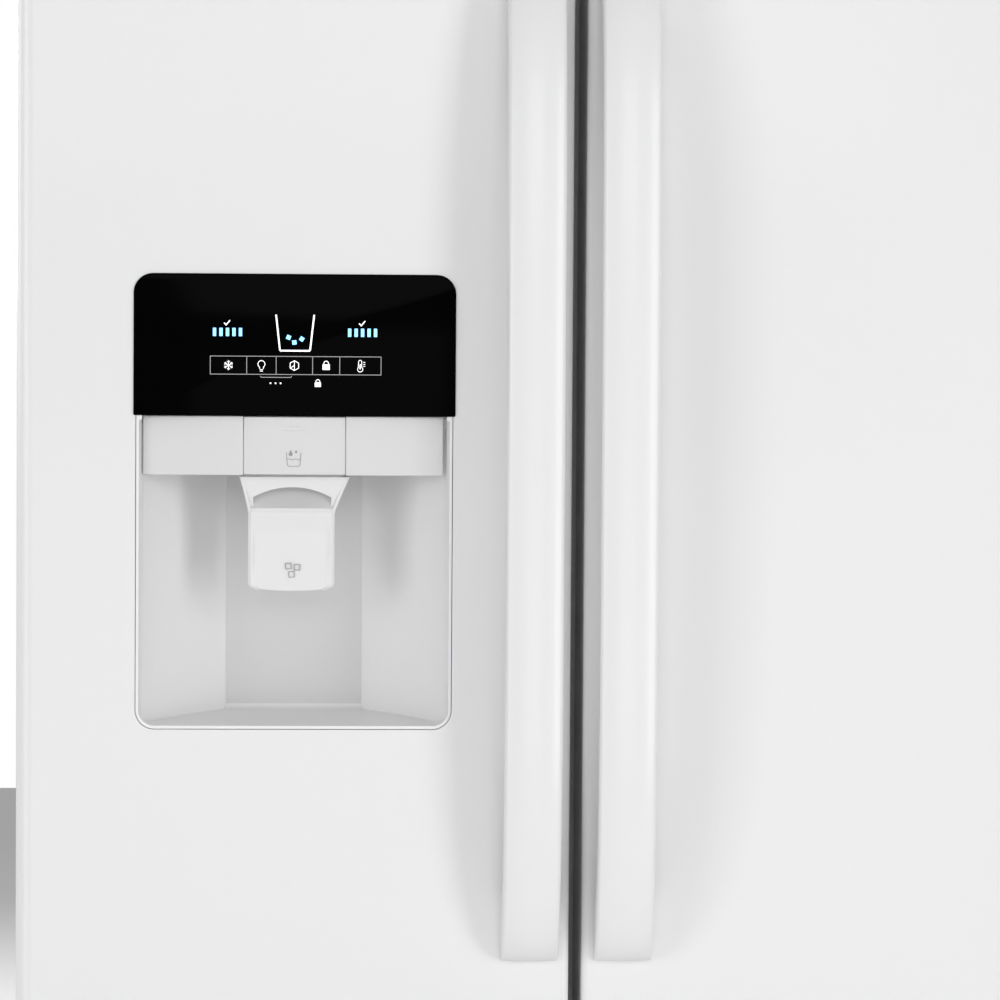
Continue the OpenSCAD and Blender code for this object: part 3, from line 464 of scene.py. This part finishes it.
def makeNiche():
    bottom = nicheLow.z
    top = panelLow.z
    half = niche["half"] * mm
    outer = extruded("niche_outer", nichePlan(niche["wall"], 0), bottom, top)
    frontShape = roundedOutline(dispX - half, dispX + half, bottom + 0.5 * mm, top + 60 * mm,
                                niche["cornerRound"] * mm, 0)
    cut(outer, plate("niche_trim", frontShape, faceY, faceY + 0.12), "INTERSECT")
    hollow = extruded("niche_hollow", nichePlan(0, 3 * mm), bottom - 10 * mm, top - niche["ceiling"] * mm)
    inner = half - (niche["rim"] - niche["trimGap"]) * mm
    hollowFront = roundedOutline(dispX - inner, dispX + inner, bottom + niche["lip"] * mm, top + 60 * mm,
                                 (niche["cornerRound"] - niche["rim"]) * mm, 0, 14)
    cut(hollow, plate("hollow_trim", hollowFront, faceY - 5 * mm, faceY + 0.13), "INTERSECT")
    for v in hollow.data.vertices:
        if v.co.z < bottom + niche["floorZone"] * mm:
            v.co.z += niche["floorRise"] * mm * max(0.0, v.co.y - faceY) / (niche["depth"] * mm)
    cut(outer, hollow)
    # room for the top of the water pad to swing
    roomLow = (dispX - niche["roomHalf"] * mm, faceY - 5 * mm, top - niche["roomHeight"] * mm)
    roomHigh = (dispX + niche["roomHalf"] * mm, faceY + niche["roomDepth"] * mm, top + 1 * mm)
    cut(outer, boxObject("pad_room", roomLow, roomHigh))
    bevelled(outer, niche["edge"] * mm, 3, 34)
    outer.name = "dispenser_niche"
    place(outer, "freezer_door", "white_plastic", instead=("dispenser_housing",))
    # a soft corner where the floor meets the back, and a darker sheet over the back wall as painted shade
    cove = []
    backY = faceY + (niche["depth"] - 0.2) * mm
    coveR = niche["coveRound"] * mm
    floorZ = bottom + (niche["lip"] + niche["floorRise"]) * mm
    for i in range(9):
        a = math.radians(90 * i / 8)
        cove.append((backY - coveR + coveR * math.sin(a), floorZ + coveR - coveR * math.cos(a)))
    verts, faces = [], []
    backHalf = (niche["backHalf"] + 0.6) * mm
    section = cove + [(backY + 0.5 * mm, floorZ + coveR), (backY + 0.5 * mm, floorZ - 1 * mm),
                      (backY - coveR, floorZ - 1 * mm)]
    for x in (dispX - backHalf, dispX + backHalf):
        verts += [(x, y, z) for y, z in section]
    n = len(section)
    faces = [(i, (i + 1) % n, n + (i + 1) % n, n + i) for i in range(n)]
    faces += [tuple(range(n - 1, -1, -1)), tuple(range(n, 2 * n))]
    # the sheet carries painted shade on the back wall, deep in the niche
    shadeSheetHalf = (niche["backHalf"] - 0.3) * mm
    shadeSheet = boxObject("niche_back_shade_sheet", (dispX - shadeSheetHalf, backY - 0.25 * mm, floorZ + coveR),
                      (dispX + shadeSheetHalf, backY + 0.5 * mm, top - 3.4 * mm))
    place(shadeSheet, "freezer_door", "white_plastic", nicheShadeWhite)
    coveObj = meshObject("niche_floor_cove", verts, faces)
    smoothByAngle(coveObj, 30)
    place(coveObj, "freezer_door", "white_plastic")


makeNiche()

# the strip over the niche, in millimetres
fascia = {
    "half": 106.4, "leftExtra": 1.8, "height": 42.5, "front": 2.0, "bow": 5.0, "padHalf": 36.4, "thick": 3.0,
    "seam": 0.35, "bridgeHalf": 44, "earX": 42.5, "earHalf": 1.5,
}


def fasciaFront(x):
    # the strip bulges a little towards the room at its middle
    share = min(1.0, abs(x) / fascia["half"])
    return fascia["front"] + fascia["bow"] * share ** 2.2


def fasciaWing(name, x0, x1):
    # a bowed strip between two x values, in millimetres from the dispenser's middle
    steps = 18
    z0 = panelLow.z - fascia["height"] * mm
    z1 = panelLow.z - 0.3 * mm
    across = [x0 + (x1 - x0) * i / steps for i in range(steps + 1)]
    plan = [(dispX + x * mm, faceY + fasciaFront(x) * mm) for x in across]
    plan += [(x, y + fascia["thick"] * mm) for x, y in reversed(plan)]
    return bevelled(extruded(name, plan, z0, z1), 0.5 * mm, 3, 40)


seam = fascia["padHalf"] + fascia["seam"]
wings = [fasciaWing("wing_left", -fascia["half"] - fascia["leftExtra"], -seam),
         fasciaWing("wing_right", seam, fascia["half"])]
top = panelLow.z
half = fascia["bridgeHalf"] * mm
wings.append(boxObject("fascia_bridge", (dispX - half, faceY + 6.5 * mm, top - 7 * mm),
                       (dispX + half, faceY + 8.5 * mm, top - 0.3 * mm)))
half = fascia["earHalf"] * mm
for side in (-1, 1):
    x = dispX + side * fascia["earX"] * mm
    wings.append(boxObject("pin_ear", (x - half, faceY + 5 * mm, top - 42 * mm),
                           (x + half, faceY + 35 * mm, top - 33 * mm), 0.4 * mm))
# the strip takes the darker white as painted shade under the panel
place(joined("fascia_strip", wings), "freezer_door", "white_plastic", nicheShadeWhite,
      instead=("dispenser_fascia",))


# the water pad in the middle of the strip, measured down from the strip's top
pad = {
    "foot": 42, "head": 0.6, "front": 0.6, "bow": 1.2, "thick": 3.2,
    "pinHalf": 41.5, "pinBack": 9, "pinR": 1.9,
}


def makeWaterPad():
    z0 = top - pad["foot"] * mm
    z1 = top - pad["head"] * mm
    half = fascia["padHalf"] * mm
    steps = 18
    plan = []
    for i in range(steps + 1):
        x = -half + 2 * half * i / steps
        plan.append((dispX + x, faceY + (pad["front"] + pad["bow"] * (x / half) ** 2) * mm))
    plan += [(x, y + pad["thick"] * mm) for x, y in reversed(plan)]
    parts = [bevelled(extruded("pad_face", plan, z0, z1), 0.9 * mm, 4, 40)]
    parts.append(boxObject("pad_back", (dispX - 31 * mm, faceY + 3 * mm, top - 12 * mm),
                           (dispX + 31 * mm, faceY + 10 * mm, top - 7 * mm), 0.5 * mm))
    reach = pad["pinHalf"] * mm
    pinY = faceY + pad["pinBack"] * mm
    pinZ = top - pad["pinBack"] * mm
    parts.append(tube("pad_pin", [(dispX - reach, pinY, pinZ), (dispX + reach, pinY, pinZ)],
                      pad["pinR"] * mm, 24))
    # the pad takes the darker white as painted shade under the panel
    place(joined("water_pad_face", parts), "water_pad", "white_plastic", nicheShadeWhite, instead=("water_pad",))
    # moulded tick and stem high on the pad
    front = faceY + 0.45 * mm
    back = faceY + 1.0 * mm
    marks = []
    for x in (-2.0, 0.8):
        marks.append(boxObject("stem", (dispX + x * mm, front, top - 7 * mm),
                               (dispX + (x + 1.0) * mm, back, top - 1.2 * mm), 0.15 * mm))
    marks.append(boxObject("stem_foot", (dispX - 5 * mm, front, top - 8.2 * mm),
                           (dispX + 5 * mm, back, top - 7.4 * mm), 0.15 * mm))
    marks.append(boxObject("stem_line", (dispX - 9 * mm, front, top - 11.0 * mm),
                           (dispX + 9 * mm, back, top - 10.4 * mm), 0.12 * mm))
    # the marks take the darker white as painted shade, like the pad
    place(joined("water_pad_moulded_marks", marks), "water_pad", "white_plastic", nicheShadeWhite)


makeWaterPad()


def stroke(points, width, front, back, closed=False):
    # a flat line of even width through (x, z) points, as one ribbon with mitred corners
    pts = [Vector((x, z)) for x, z in points]
    n = len(pts)
    left, right = [], []
    for i in range(n):
        before = pts[i - 1] if (i > 0 or closed) else None
        after = pts[(i + 1) % n] if (i < n - 1 or closed) else None
        dirs = []
        if before is not None:
            dirs.append((pts[i] - before).normalized())
        if after is not None:
            dirs.append((after - pts[i]).normalized())
        along = sum(dirs, Vector((0, 0))).normalized()
        side = Vector((-along.y, along.x))
        reach = width / 2
        if len(dirs) == 2:
            reach = min(width, reach / max(0.35, side.dot(Vector((-dirs[0].y, dirs[0].x)))))
        left.append(pts[i] + side * reach)
        right.append(pts[i] - side * reach)
    verts, faces = [], []
    for y in (front, back):
        verts += [(p.x, y, p.y) for p in left] + [(p.x, y, p.y) for p in right]
    count = n if closed else n - 1
    for i in range(count):
        j = (i + 1) % n
        faces.append((i, j, n + j, n + i))
        faces.append((2 * n + i, 3 * n + i, 3 * n + j, 2 * n + j))
        faces.append((i, 2 * n + i, 2 * n + j, j))
        faces.append((n + i, n + j, 3 * n + j, 3 * n + i))
    if not closed:
        for i in (0, n - 1):
            faces.append((i, n + i, 3 * n + i, 2 * n + i))
    return meshObject("stroke", verts, faces, smooth=False)


def waterSign():
    # a tumbler with a wavy level and two drops
    cx = dispX - 0.6 * mm
    cz = top - 30.5 * mm
    front = faceY + 0.42 * mm
    back = faceY + 0.9 * mm
    w = 0.45 * mm
    cup = [(cx - 5.2 * mm, cz + 4.4 * mm), (cx - 4.5 * mm, cz - 4.6 * mm)]
    cup += [(cx - 3.6 * mm, cz - 5.5 * mm), (cx + 3.6 * mm, cz - 5.5 * mm), (cx + 4.5 * mm, cz - 4.6 * mm)]
    cup += [(cx + 5.2 * mm, cz + 4.4 * mm)]
    parts = [stroke(cup, w, front, back)]
    wave = [(cx + (-4.9 + 9.8 * i / 24) * mm, cz + 0.35 * mm * math.sin(i / 24 * 4 * math.pi) - 0.5 * mm)
            for i in range(25)]
    parts.append(stroke(wave, w, front, back))
    for dx, dz, size in ((-2.2, 3.2, 1.45), (1.7, 4.6, 0.8)):
        pts = arc(cx + dx * mm, cz + dz * mm, size * mm, 150, 390, 14)
        pts.append((cx + dx * mm, cz + (dz + 2.1 * size) * mm))
        parts.append(plate("drop", pts, front, back))
    place(joined("water_sign", parts), "water_pad", "white_plastic", greyInk)


waterSign()

# the ice paddle: widths and depths in millimetres, heights above the floor
paddle = {
    "front": 12.0, "neckHalf": 39.6, "half": 31.0, "bottomZ": 1068.4, "shoulderZ": 1122.2, "neckZ": 1149.0,
    "archHalf": 28.2, "archTop": 1141.6, "archSide": 1134.2, "archFoot": 1126.4, "bowDrop": 1.6,
    "rimWidth": 5.0, "dish": 2.4, "wall": 1.1, "lean": -2.0, "cornerRound": 4.4,
    "pinHalf": 43.5, "pinBack": 30, "pinZ": 1154, "pinR": 2.4, "cheek": 2.2, "scoopWall": 1.6,
}


def paddleHalf(z):
    # half width of the paddle at a height, in millimetres: straight below, flared above the shoulder
    if z <= paddle["shoulderZ"]:
        return paddle["half"]
    share = max(0.0, min(1.0, (z - paddle["shoulderZ"]) / (paddle["neckZ"] - paddle["shoulderZ"])))
    return paddle["half"] + (paddle["neckHalf"] - paddle["half"]) * share ** 1.15


def paddleMiddle(z):
    # the plate hangs a little to one side of its neck
    return dispX + paddle["lean"] * (1 - smoothStep(1121, 1149, z)) * mm


def smoothStep(a, b, v):
    t = min(1.0, max(0.0, (v - a) / (b - a)))
    return t * t * (3 - 2 * t)


def paddleFront(u, z):
    # depth of the paddle's front behind the door's face, in millimetres; u runs from -1 to 1
    side = abs(u) * paddle["half"]
    depth = paddle["front"] + 3.0 * smoothStep(1150, 1128, z)
    shoulder = math.exp(-((z - paddle["shoulderZ"]) / 3.4) ** 2)
    depth -= 1.5 * shoulder
    belowShoulder = smoothStep(1119.0, 1107.0, z)
    inside = smoothStep(paddle["half"] - 1.5, paddle["half"] - 1.5 - paddle["rimWidth"], side)
    depth += paddle["dish"] * belowShoulder * inside
    depth -= 0.8 * smoothStep(1092, 1068, z) * inside
    depth += 1.6 * smoothStep(0.93, 1.0, abs(u))
    return depth


def makePaddle():
    rows, cols = 84, 56
    z0, z1 = paddle["bottomZ"], paddle["neckZ"]
    cornerR = paddle["cornerRound"]
    verts, faces = [], []
    for r in range(rows + 1):
        v = r / rows
        z = z0 + (z1 - z0) * v
        half = paddleHalf(z)
        rise = z - z0
        if rise < cornerR:
            half -= cornerR - math.sqrt(max(0.0, cornerR ** 2 - (cornerR - rise) ** 2))
        for c in range(cols + 1):
            u = -1 + 2 * c / cols
            u = math.copysign(abs(u) ** 0.9, u)
            drop = paddle["bowDrop"] * (1 - u * u) * (1 - smoothStep(z0, z0 + 14, z))
            verts.append((paddleMiddle(z) + u * half * mm, faceY + paddleFront(u, z) * mm, (z - drop) * mm))
    n = cols + 1
    for r in range(rows):
        for c in range(cols):
            a = r * n + c
            faces.append((a, a + 1, a + n + 1, a + n))
    shell = meshObject("paddle_shell", verts, faces)
    solid = shell.modifiers.new("wall", "SOLIDIFY")
    solid.thickness = paddle["wall"] * mm
    middleFace = shell.data.polygons[len(shell.data.polygons) // 2 + cols // 2]
    solid.offset = -1 if middleFace.normal.y < 0 else 1
    applyModifiers(shell)
    # the arched mouth
    half = paddle["archHalf"]
    sideZ, footZ, topZ = paddle["archSide"], paddle["archFoot"], paddle["archTop"]
    rise = topZ - sideZ
    r = (half ** 2 + rise ** 2) / (2 * rise)
    span = math.degrees(math.asin(half / r))
    midX = paddleMiddle(1130)
    arch = arc(midX, (topZ - r) * mm, r * mm, 90 - span, 90 + span, 26)
    mouth = arch + [(midX - (half - 0.4) * mm, footZ * mm), (midX + (half - 0.4) * mm, footZ * mm)]
    cut(shell, plate("mouth_cut", mouth, faceY, faceY + 40 * mm))
    smoothByAngle(shell, 38)
    parts = [shell]
    # the scoop behind the mouth, deep at its top and level with the shoulder at its foot
    verts, faces = [], []
    rows, cols = 16, 24
    for r in range(rows + 1):
        v = r / rows
        for c in range(cols + 1):
            u = -1 + 2 * c / cols
            z = footZ - 1.2 + (topZ + 6 - footZ) * v
            depth = 14.5 + 15.5 * math.sin(v * math.pi / 2) - 5.0 * u * u * v
            verts.append((midX + u * (half + 1.4) * mm, faceY + depth * mm, z * mm))
    n = cols + 1
    for r in range(rows):
        for c in range(cols):
            a = r * n + c
            faces.append((a, a + 1, a + n + 1, a + n))
    scoop = meshObject("paddle_scoop", verts, faces)
    thick = scoop.modifiers.new("wall", "SOLIDIFY")
    thick.thickness = paddle["scoopWall"] * mm
    thick.offset = 1 if scoop.data.polygons[0].normal.y < 0 else -1
    applyModifiers(scoop)
    smoothByAngle(scoop, 50)
    parts.append(scoop)
    # side cheeks of the neck, back to the pin
    for side in (-1, 1):
        outline = [(faceY + 13 * mm, 1124 * mm), (faceY + 13 * mm, 1149 * mm), (faceY + 36 * mm, 1157 * mm),
                   (faceY + 36 * mm, 1146 * mm), (faceY + 24 * mm, 1124 * mm)]
        verts = []
        for k in (0, 1):
            for y, z in outline:
                flare = paddleHalf(z / mm) - 0.4 - k * paddle["cheek"]
                verts.append((paddleMiddle(z / mm) + side * flare * mm, y, z))
        n = len(outline)
        faces = [tuple(range(n)), tuple(range(2 * n - 1, n - 1, -1))]
        faces += [(i, (i + 1) % n, n + (i + 1) % n, n + i) for i in range(n)]
        parts.append(bevelled(meshObject("cheek", verts, faces, smooth=False), 0.5 * mm, 2, 30))
    reach = paddle["pinHalf"] * mm
    pinY = faceY + paddle["pinBack"] * mm
    pinZ = paddle["pinZ"] * mm
    parts.append(tube("paddle_pin", [(dispX - reach, pinY, pinZ), (dispX + reach, pinY, pinZ)],
                      paddle["pinR"] * mm, 24))
    # the paddle takes the darker white as painted shade inside the niche
    place(joined("ice_paddle_lever", parts), "ice_paddle", "white_plastic", paddleShadeWhite,
          instead=("ice_paddle",))


makePaddle()


def iceSign():
    # three outlined cubes, each tilted a little
    cx = dispX - 1.0 * mm
    depth = paddle["front"] + 3.0 + paddle["dish"] - 0.8
    front = faceY + (depth - 0.35) * mm
    back = faceY + (depth + 0.3) * mm
    parts = []
    for dx, z, tilt in ((-3.1, 1084.6, 8), (3.2, 1083.7, -4), (-0.8, 1078.6, 6)):
        side = 2.0
        pts = []
        for a in (45, 135, 225, 315):
            q = math.radians(a + tilt)
            pts.append((cx + (dx + side * math.sqrt(2) * math.cos(q)) * mm,
                        (z + side * math.sqrt(2) * math.sin(q)) * mm))
        parts.append(stroke(pts, 0.42 * mm, front, back, closed=True))
    place(joined("ice_sign", parts), "ice_paddle", "white_plastic", greyInk)


iceSign()
print("dispenser niche, fascia, pad and paddle made")

# the glossy control panel and its lit and printed marks, in millimetres from its top middle
display = {
    "topRound": 14.0, "edge": 1.1, "inset": 0.9, "markLift": 0.06,
    "gaugeX": 48.2, "gaugeZ": 42.2, "cellPitch": 4.62, "cellWidth": 2.35, "cellHeight": 5.9, "cubeR": 2.15,
    "fieldLeft": -60.4, "fieldRight": 61.5, "fieldTop": 59.4, "fieldFoot": 72.3,
    "dividers": (-34.4, -13.4, 12.6, 32.0), "frameLine": 0.42,
    "snow": (-47.4, 65.9), "bulb": (-23.9, 65.0), "cube": (-0.4, 65.9), "lock": (22.3, 66.9),
    "thermometer": (46.6, 65.9), "smallLock": (16.4, 79.4),
}


def panelX(value):
    return dispX + value * mm


def panelZ(value):
    # heights on the panel are measured down from its top edge
    return panelHigh.z - value * mm


def makeDisplay():
    side = display["inset"] * mm
    outline = roundedOutline(panelLow.x + side, panelHigh.x - side, panelLow.z, panelHigh.z - 0.5 * mm, 0,
                             display["topRound"] * mm, 14)
    panel = plate("display_glass", outline, panelLow.y, panelHigh.y)
    bevelled(panel, display["edge"] * mm, 4, 50)
    place(panel, "freezer_door", "black_panel", instead=("dispenser_panel",))
    front = panelLow.y - display["markLift"] * mm
    back = panelLow.y + 0.3 * mm
    blue, white, grey = [], [], []

    def bar(group, x, z, w, h):
        group.append(plate("mark", roundedOutline(panelX(x - w / 2), panelX(x + w / 2), panelZ(z + h / 2),
                                                  panelZ(z - h / 2), 0.3 * mm, 0.3 * mm, 3), front, back))

    def line(group, points, w, closed=False):
        group.append(stroke([(panelX(x), panelZ(z)) for x, z in points], w * mm, front, back, closed))

    def ring(at, dz, across, up, start, end, step):
        # points round a centre, dz below it
        angles = [math.radians(a) for a in range(start, end, step)]
        return [(at[0] + across * math.cos(a), at[1] + dz + up * math.sin(a)) for a in angles]

    def lock(at, w, h, half, rise, up, weight):
        # a padlock: its body and a shackle
        bar(white, at[0], at[1], w, h)
        shackle = ring(at, -rise, half, up, 180, 361, 20)
        line(white, [(at[0] - half, at[1] - 1.2)] + shackle + [(at[0] + half, at[1] - 1.2)], weight)

    # two five-step gauges with a tick over each
    for middle in (-display["gaugeX"], display["gaugeX"]):
        for i in range(5):
            x = middle + (i - 2) * display["cellPitch"]
            bar(blue, x, display["gaugeZ"], display["cellWidth"], display["cellHeight"])
        tickX = middle - 0.4
        line(white, [(tickX - 2.1, 35.6), (tickX - 0.6, 37.2), (tickX + 2.2, 33.8)], 0.75)
    # the glass in the middle with three floating cubes
    wall = [(10.2, 55.3), (10.8, 54.6), (13.6, 29.6)]
    line(white, [(-x, z) for x, z in reversed(wall)] + wall, 1.15)
    for x, z, tilt in ((-4.6, 45.8, 22), (-0.5, 49.4, -6), (4.8, 46.9, 34)):
        pts = []
        for k in range(4):
            a = math.radians(45 + 90 * k + tilt)
            r = display["cubeR"]
            pts.append((panelX(x + r * math.cos(a)), panelZ(z + r * math.sin(a))))
        blue.append(plate("cube", pts, front, back))
    # a row of five touch fields in a thin frame
    x0, x1 = display["fieldLeft"], display["fieldRight"]
    z0, z1 = display["fieldTop"], display["fieldFoot"]
    line(grey, [(x0, z0), (x1, z0), (x1, z1), (x0, z1)], display["frameLine"], True)
    for x in display["dividers"]:
        line(grey, [(x, z0), (x, z1)], display["frameLine"])
    # a snowflake
    snow = display["snow"]
    for k in range(3):
        a = math.radians(30 + 60 * k)
        line(white, [(snow[0] - 3.4 * math.cos(a), snow[1] - 3.4 * math.sin(a)),
                     (snow[0] + 3.4 * math.cos(a), snow[1] + 3.4 * math.sin(a))], 0.5)
    for k in range(6):
        a = math.radians(30 + 60 * k)
        tipX, tipZ = snow[0] + 2.1 * math.cos(a), snow[1] + 2.1 * math.sin(a)
        for turn in (-55, 55):
            b = a + math.radians(turn)
            line(white, [(tipX, tipZ), (tipX + 1.2 * math.cos(b), tipZ + 1.2 * math.sin(b))], 0.4)
    # a lamp bulb
    bulb = display["bulb"]
    globe = ring(bulb, 0.0, 2.5, 2.5, 125, 416, 15)
    line(white, [(bulb[0] - 1.2, bulb[1] + 3.4)] + globe + [(bulb[0] + 1.2, bulb[1] + 3.4)], 0.5)
    for dz in (4.0, 5.0):
        line(white, [(bulb[0] - 1.1, bulb[1] + dz), (bulb[0] + 1.1, bulb[1] + dz)], 0.45)
    # an ice cube, a padlock and a thermometer
    cube = display["cube"]
    hexagon = ring(cube, 0.0, 3.5, 3.5, 30, 331, 60)
    line(white, hexagon, 0.5, True)
    for k in (1, 2, 4):
        line(white, [cube, hexagon[k]], 0.45)
    lock(display["lock"], 5.2, 4.0, 1.7, 2.4, 1.9, 0.55)
    gauge = display["thermometer"]
    stem = ring(gauge, -3.0, 1.1, 1.1, 180, 361, 30)
    foot = ring(gauge, 2.4, 1.9, 1.9, -55, 236, 20)
    line(white, stem + foot, 0.45, True)
    bar(white, gauge[0], gauge[1] + 0.6, 0.9, 3.6)
    for dz in (-2.6, -1.2, 0.2):
        line(white, [(gauge[0] + 2.2, gauge[1] + dz), (gauge[0] + 3.6, gauge[1] + dz)], 0.4)
    # marks under the fields: a bracket with a small tick, three dots and a small padlock
    line(grey, [(-24.6, 73.4), (-24.0, 74.4), (-3.0, 74.4), (-2.2, 73.4)], display["frameLine"])
    for i in range(3):
        bar(white, -17.4 + 3.6 * i, 78.6, 1.1, 1.1)
    lock(display["smallLock"], 4.4, 3.3, 1.4, 2.0, 1.6, 0.5)
    place(joined("display_blue_lights", blue), "freezer_door", "black_panel", iceLight)
    place(joined("display_white_lights", white), "freezer_door", "black_panel", whiteLight)
    place(joined("display_grey_print", grey), "freezer_door", "black_panel", dimPrint)


makeDisplay()
print("display made")


# floor, soft lights and the camera in front of the dispenser; lights in watts, places in metres
studio = {
    "seen": 1.0, "ambient": 0.41, "front": 16.2, "low": 9.2, "strip": 27.0, "left": 18.5, "niche": 320.0,
    "side": 26.0, "rear": 60.0, "floorHalf": 8, "floorDrop": 0.001, "spotAngle": 10, "spotSoft": 0.8,
}
view = {
    "lens": 148.3, "sensor": 36, "sideways": 0.0017, "away": 2.95, "height": 1.252,
    "aimX": -0.1093, "aimZ": 1.1336, "roll": 0.38,
}


def areaLight(name, place, target, sizeX, sizeY, power, color=(1, 1, 1)):
    data = bpy.data.lights.new(name, "AREA")
    data.shape = "RECTANGLE"
    data.size = sizeX
    data.size_y = sizeY
    data.energy = power
    data.color = color
    lamp = bpy.data.objects.new(name, data)
    lamp.location = place
    lamp.rotation_euler = (Vector(target) - Vector(place)).to_track_quat("-Z", "Y").to_euler()
    bpy.context.scene.collection.objects.link(lamp)
    return lamp


def makeFloor():
    half = studio["floorHalf"]
    z = -studio["floorDrop"]
    corners = [(-half, -half, z), (half, -half, z), (half, half, z), (-half, half, z)]
    floor = meshObject("studio_floor", corners, [(0, 1, 2, 3)])
    paint(floor, finish("floor_paint", (0.86, 0.86, 0.86), 0.7, grain=40, grainDepth=0.02))


def makeWorld():
    # plain white behind the object, a softer white as its light
    world = bpy.data.worlds.new("studio")
    world.use_nodes = True
    back = world.node_tree.nodes["Background"]
    back.inputs["Color"].default_value = (1, 1, 1, 1)
    path = world.node_tree.nodes.new("ShaderNodeLightPath")
    level = world.node_tree.nodes.new("ShaderNodeMapRange")
    level.inputs["To Min"].default_value = studio["ambient"]
    level.inputs["To Max"].default_value = studio["seen"]
    world.node_tree.links.new(path.outputs["Is Camera Ray"], level.inputs["Value"])
    world.node_tree.links.new(level.outputs["Result"], back.inputs["Strength"])
    bpy.context.scene.world = world


def makeLights():
    areaLight("front_high", (-0.1, -4.2, 2.05), (-0.1, faceY, 1.25), 1.7, 1.0, studio["front"])
    areaLight("front_low", (-0.1, -4.2, 0.6), (-0.1, faceY, 1.05), 1.7, 0.9, studio["low"])
    areaLight("strip", (1.93, -2.61, 1.2), (-0.08, faceY, 1.15), 0.8, 1.9, studio["strip"])
    areaLight("left_strip", (-2.5, -2.5, 1.2), (-0.05, faceY, 1.15), 1.0, 1.9, studio["left"])
    for side in (-1, 1):
        areaLight("side_fill", (side * 3.6, 1.0, 1.9), (0, 0.5, 0.9), 1.6, 1.6, studio["side"])
        areaLight("rear_fill", (side * 2.2, 4.2, 2.0), (0, 0.9, 0.9), 1.8, 1.4, studio["rear"])
    spot = bpy.data.objects.new("niche_spot", bpy.data.lights.new("niche_spot", "SPOT"))
    spot.data.energy = studio["niche"]
    spot.data.spot_size = math.radians(studio["spotAngle"])
    spot.data.spot_blend = 1.0
    spot.data.shadow_soft_size = studio["spotSoft"]
    spot.location = (-2.85, -1.95, 1.22)
    aimAt = Vector((dispX + 0.03, faceY + 0.05, 1.07)) - spot.location
    spot.rotation_euler = aimAt.to_track_quat("-Z", "Y").to_euler()
    bpy.context.scene.collection.objects.link(spot)


def makeCamera():
    camera = bpy.data.objects.new("camera", bpy.data.cameras.new("camera"))
    camera.data.sensor_width = view["sensor"]
    camera.data.lens = view["lens"]
    camera.data.dof.use_dof = False
    eye = Vector((dispX + view["sideways"], faceY - view["away"], view["height"]))
    aim = Vector((view["aimX"], faceY, view["aimZ"]))
    facing = (aim - eye).to_track_quat("-Z", "Y").to_matrix()
    roll = Matrix.Rotation(math.radians(view["roll"]), 3, "Z")
    camera.matrix_world = Matrix.Translation(eye) @ (facing @ roll).to_4x4()
    bpy.context.scene.collection.objects.link(camera)
    scene = bpy.context.scene
    scene.camera = camera
    scene.view_settings.view_transform = "Standard"
    scene.view_settings.look = "None"
    scene.view_settings.exposure = 0.0
    scene.view_settings.gamma = 1.0


makeFloor()
makeWorld()
makeLights()
makeCamera()
print("studio made")
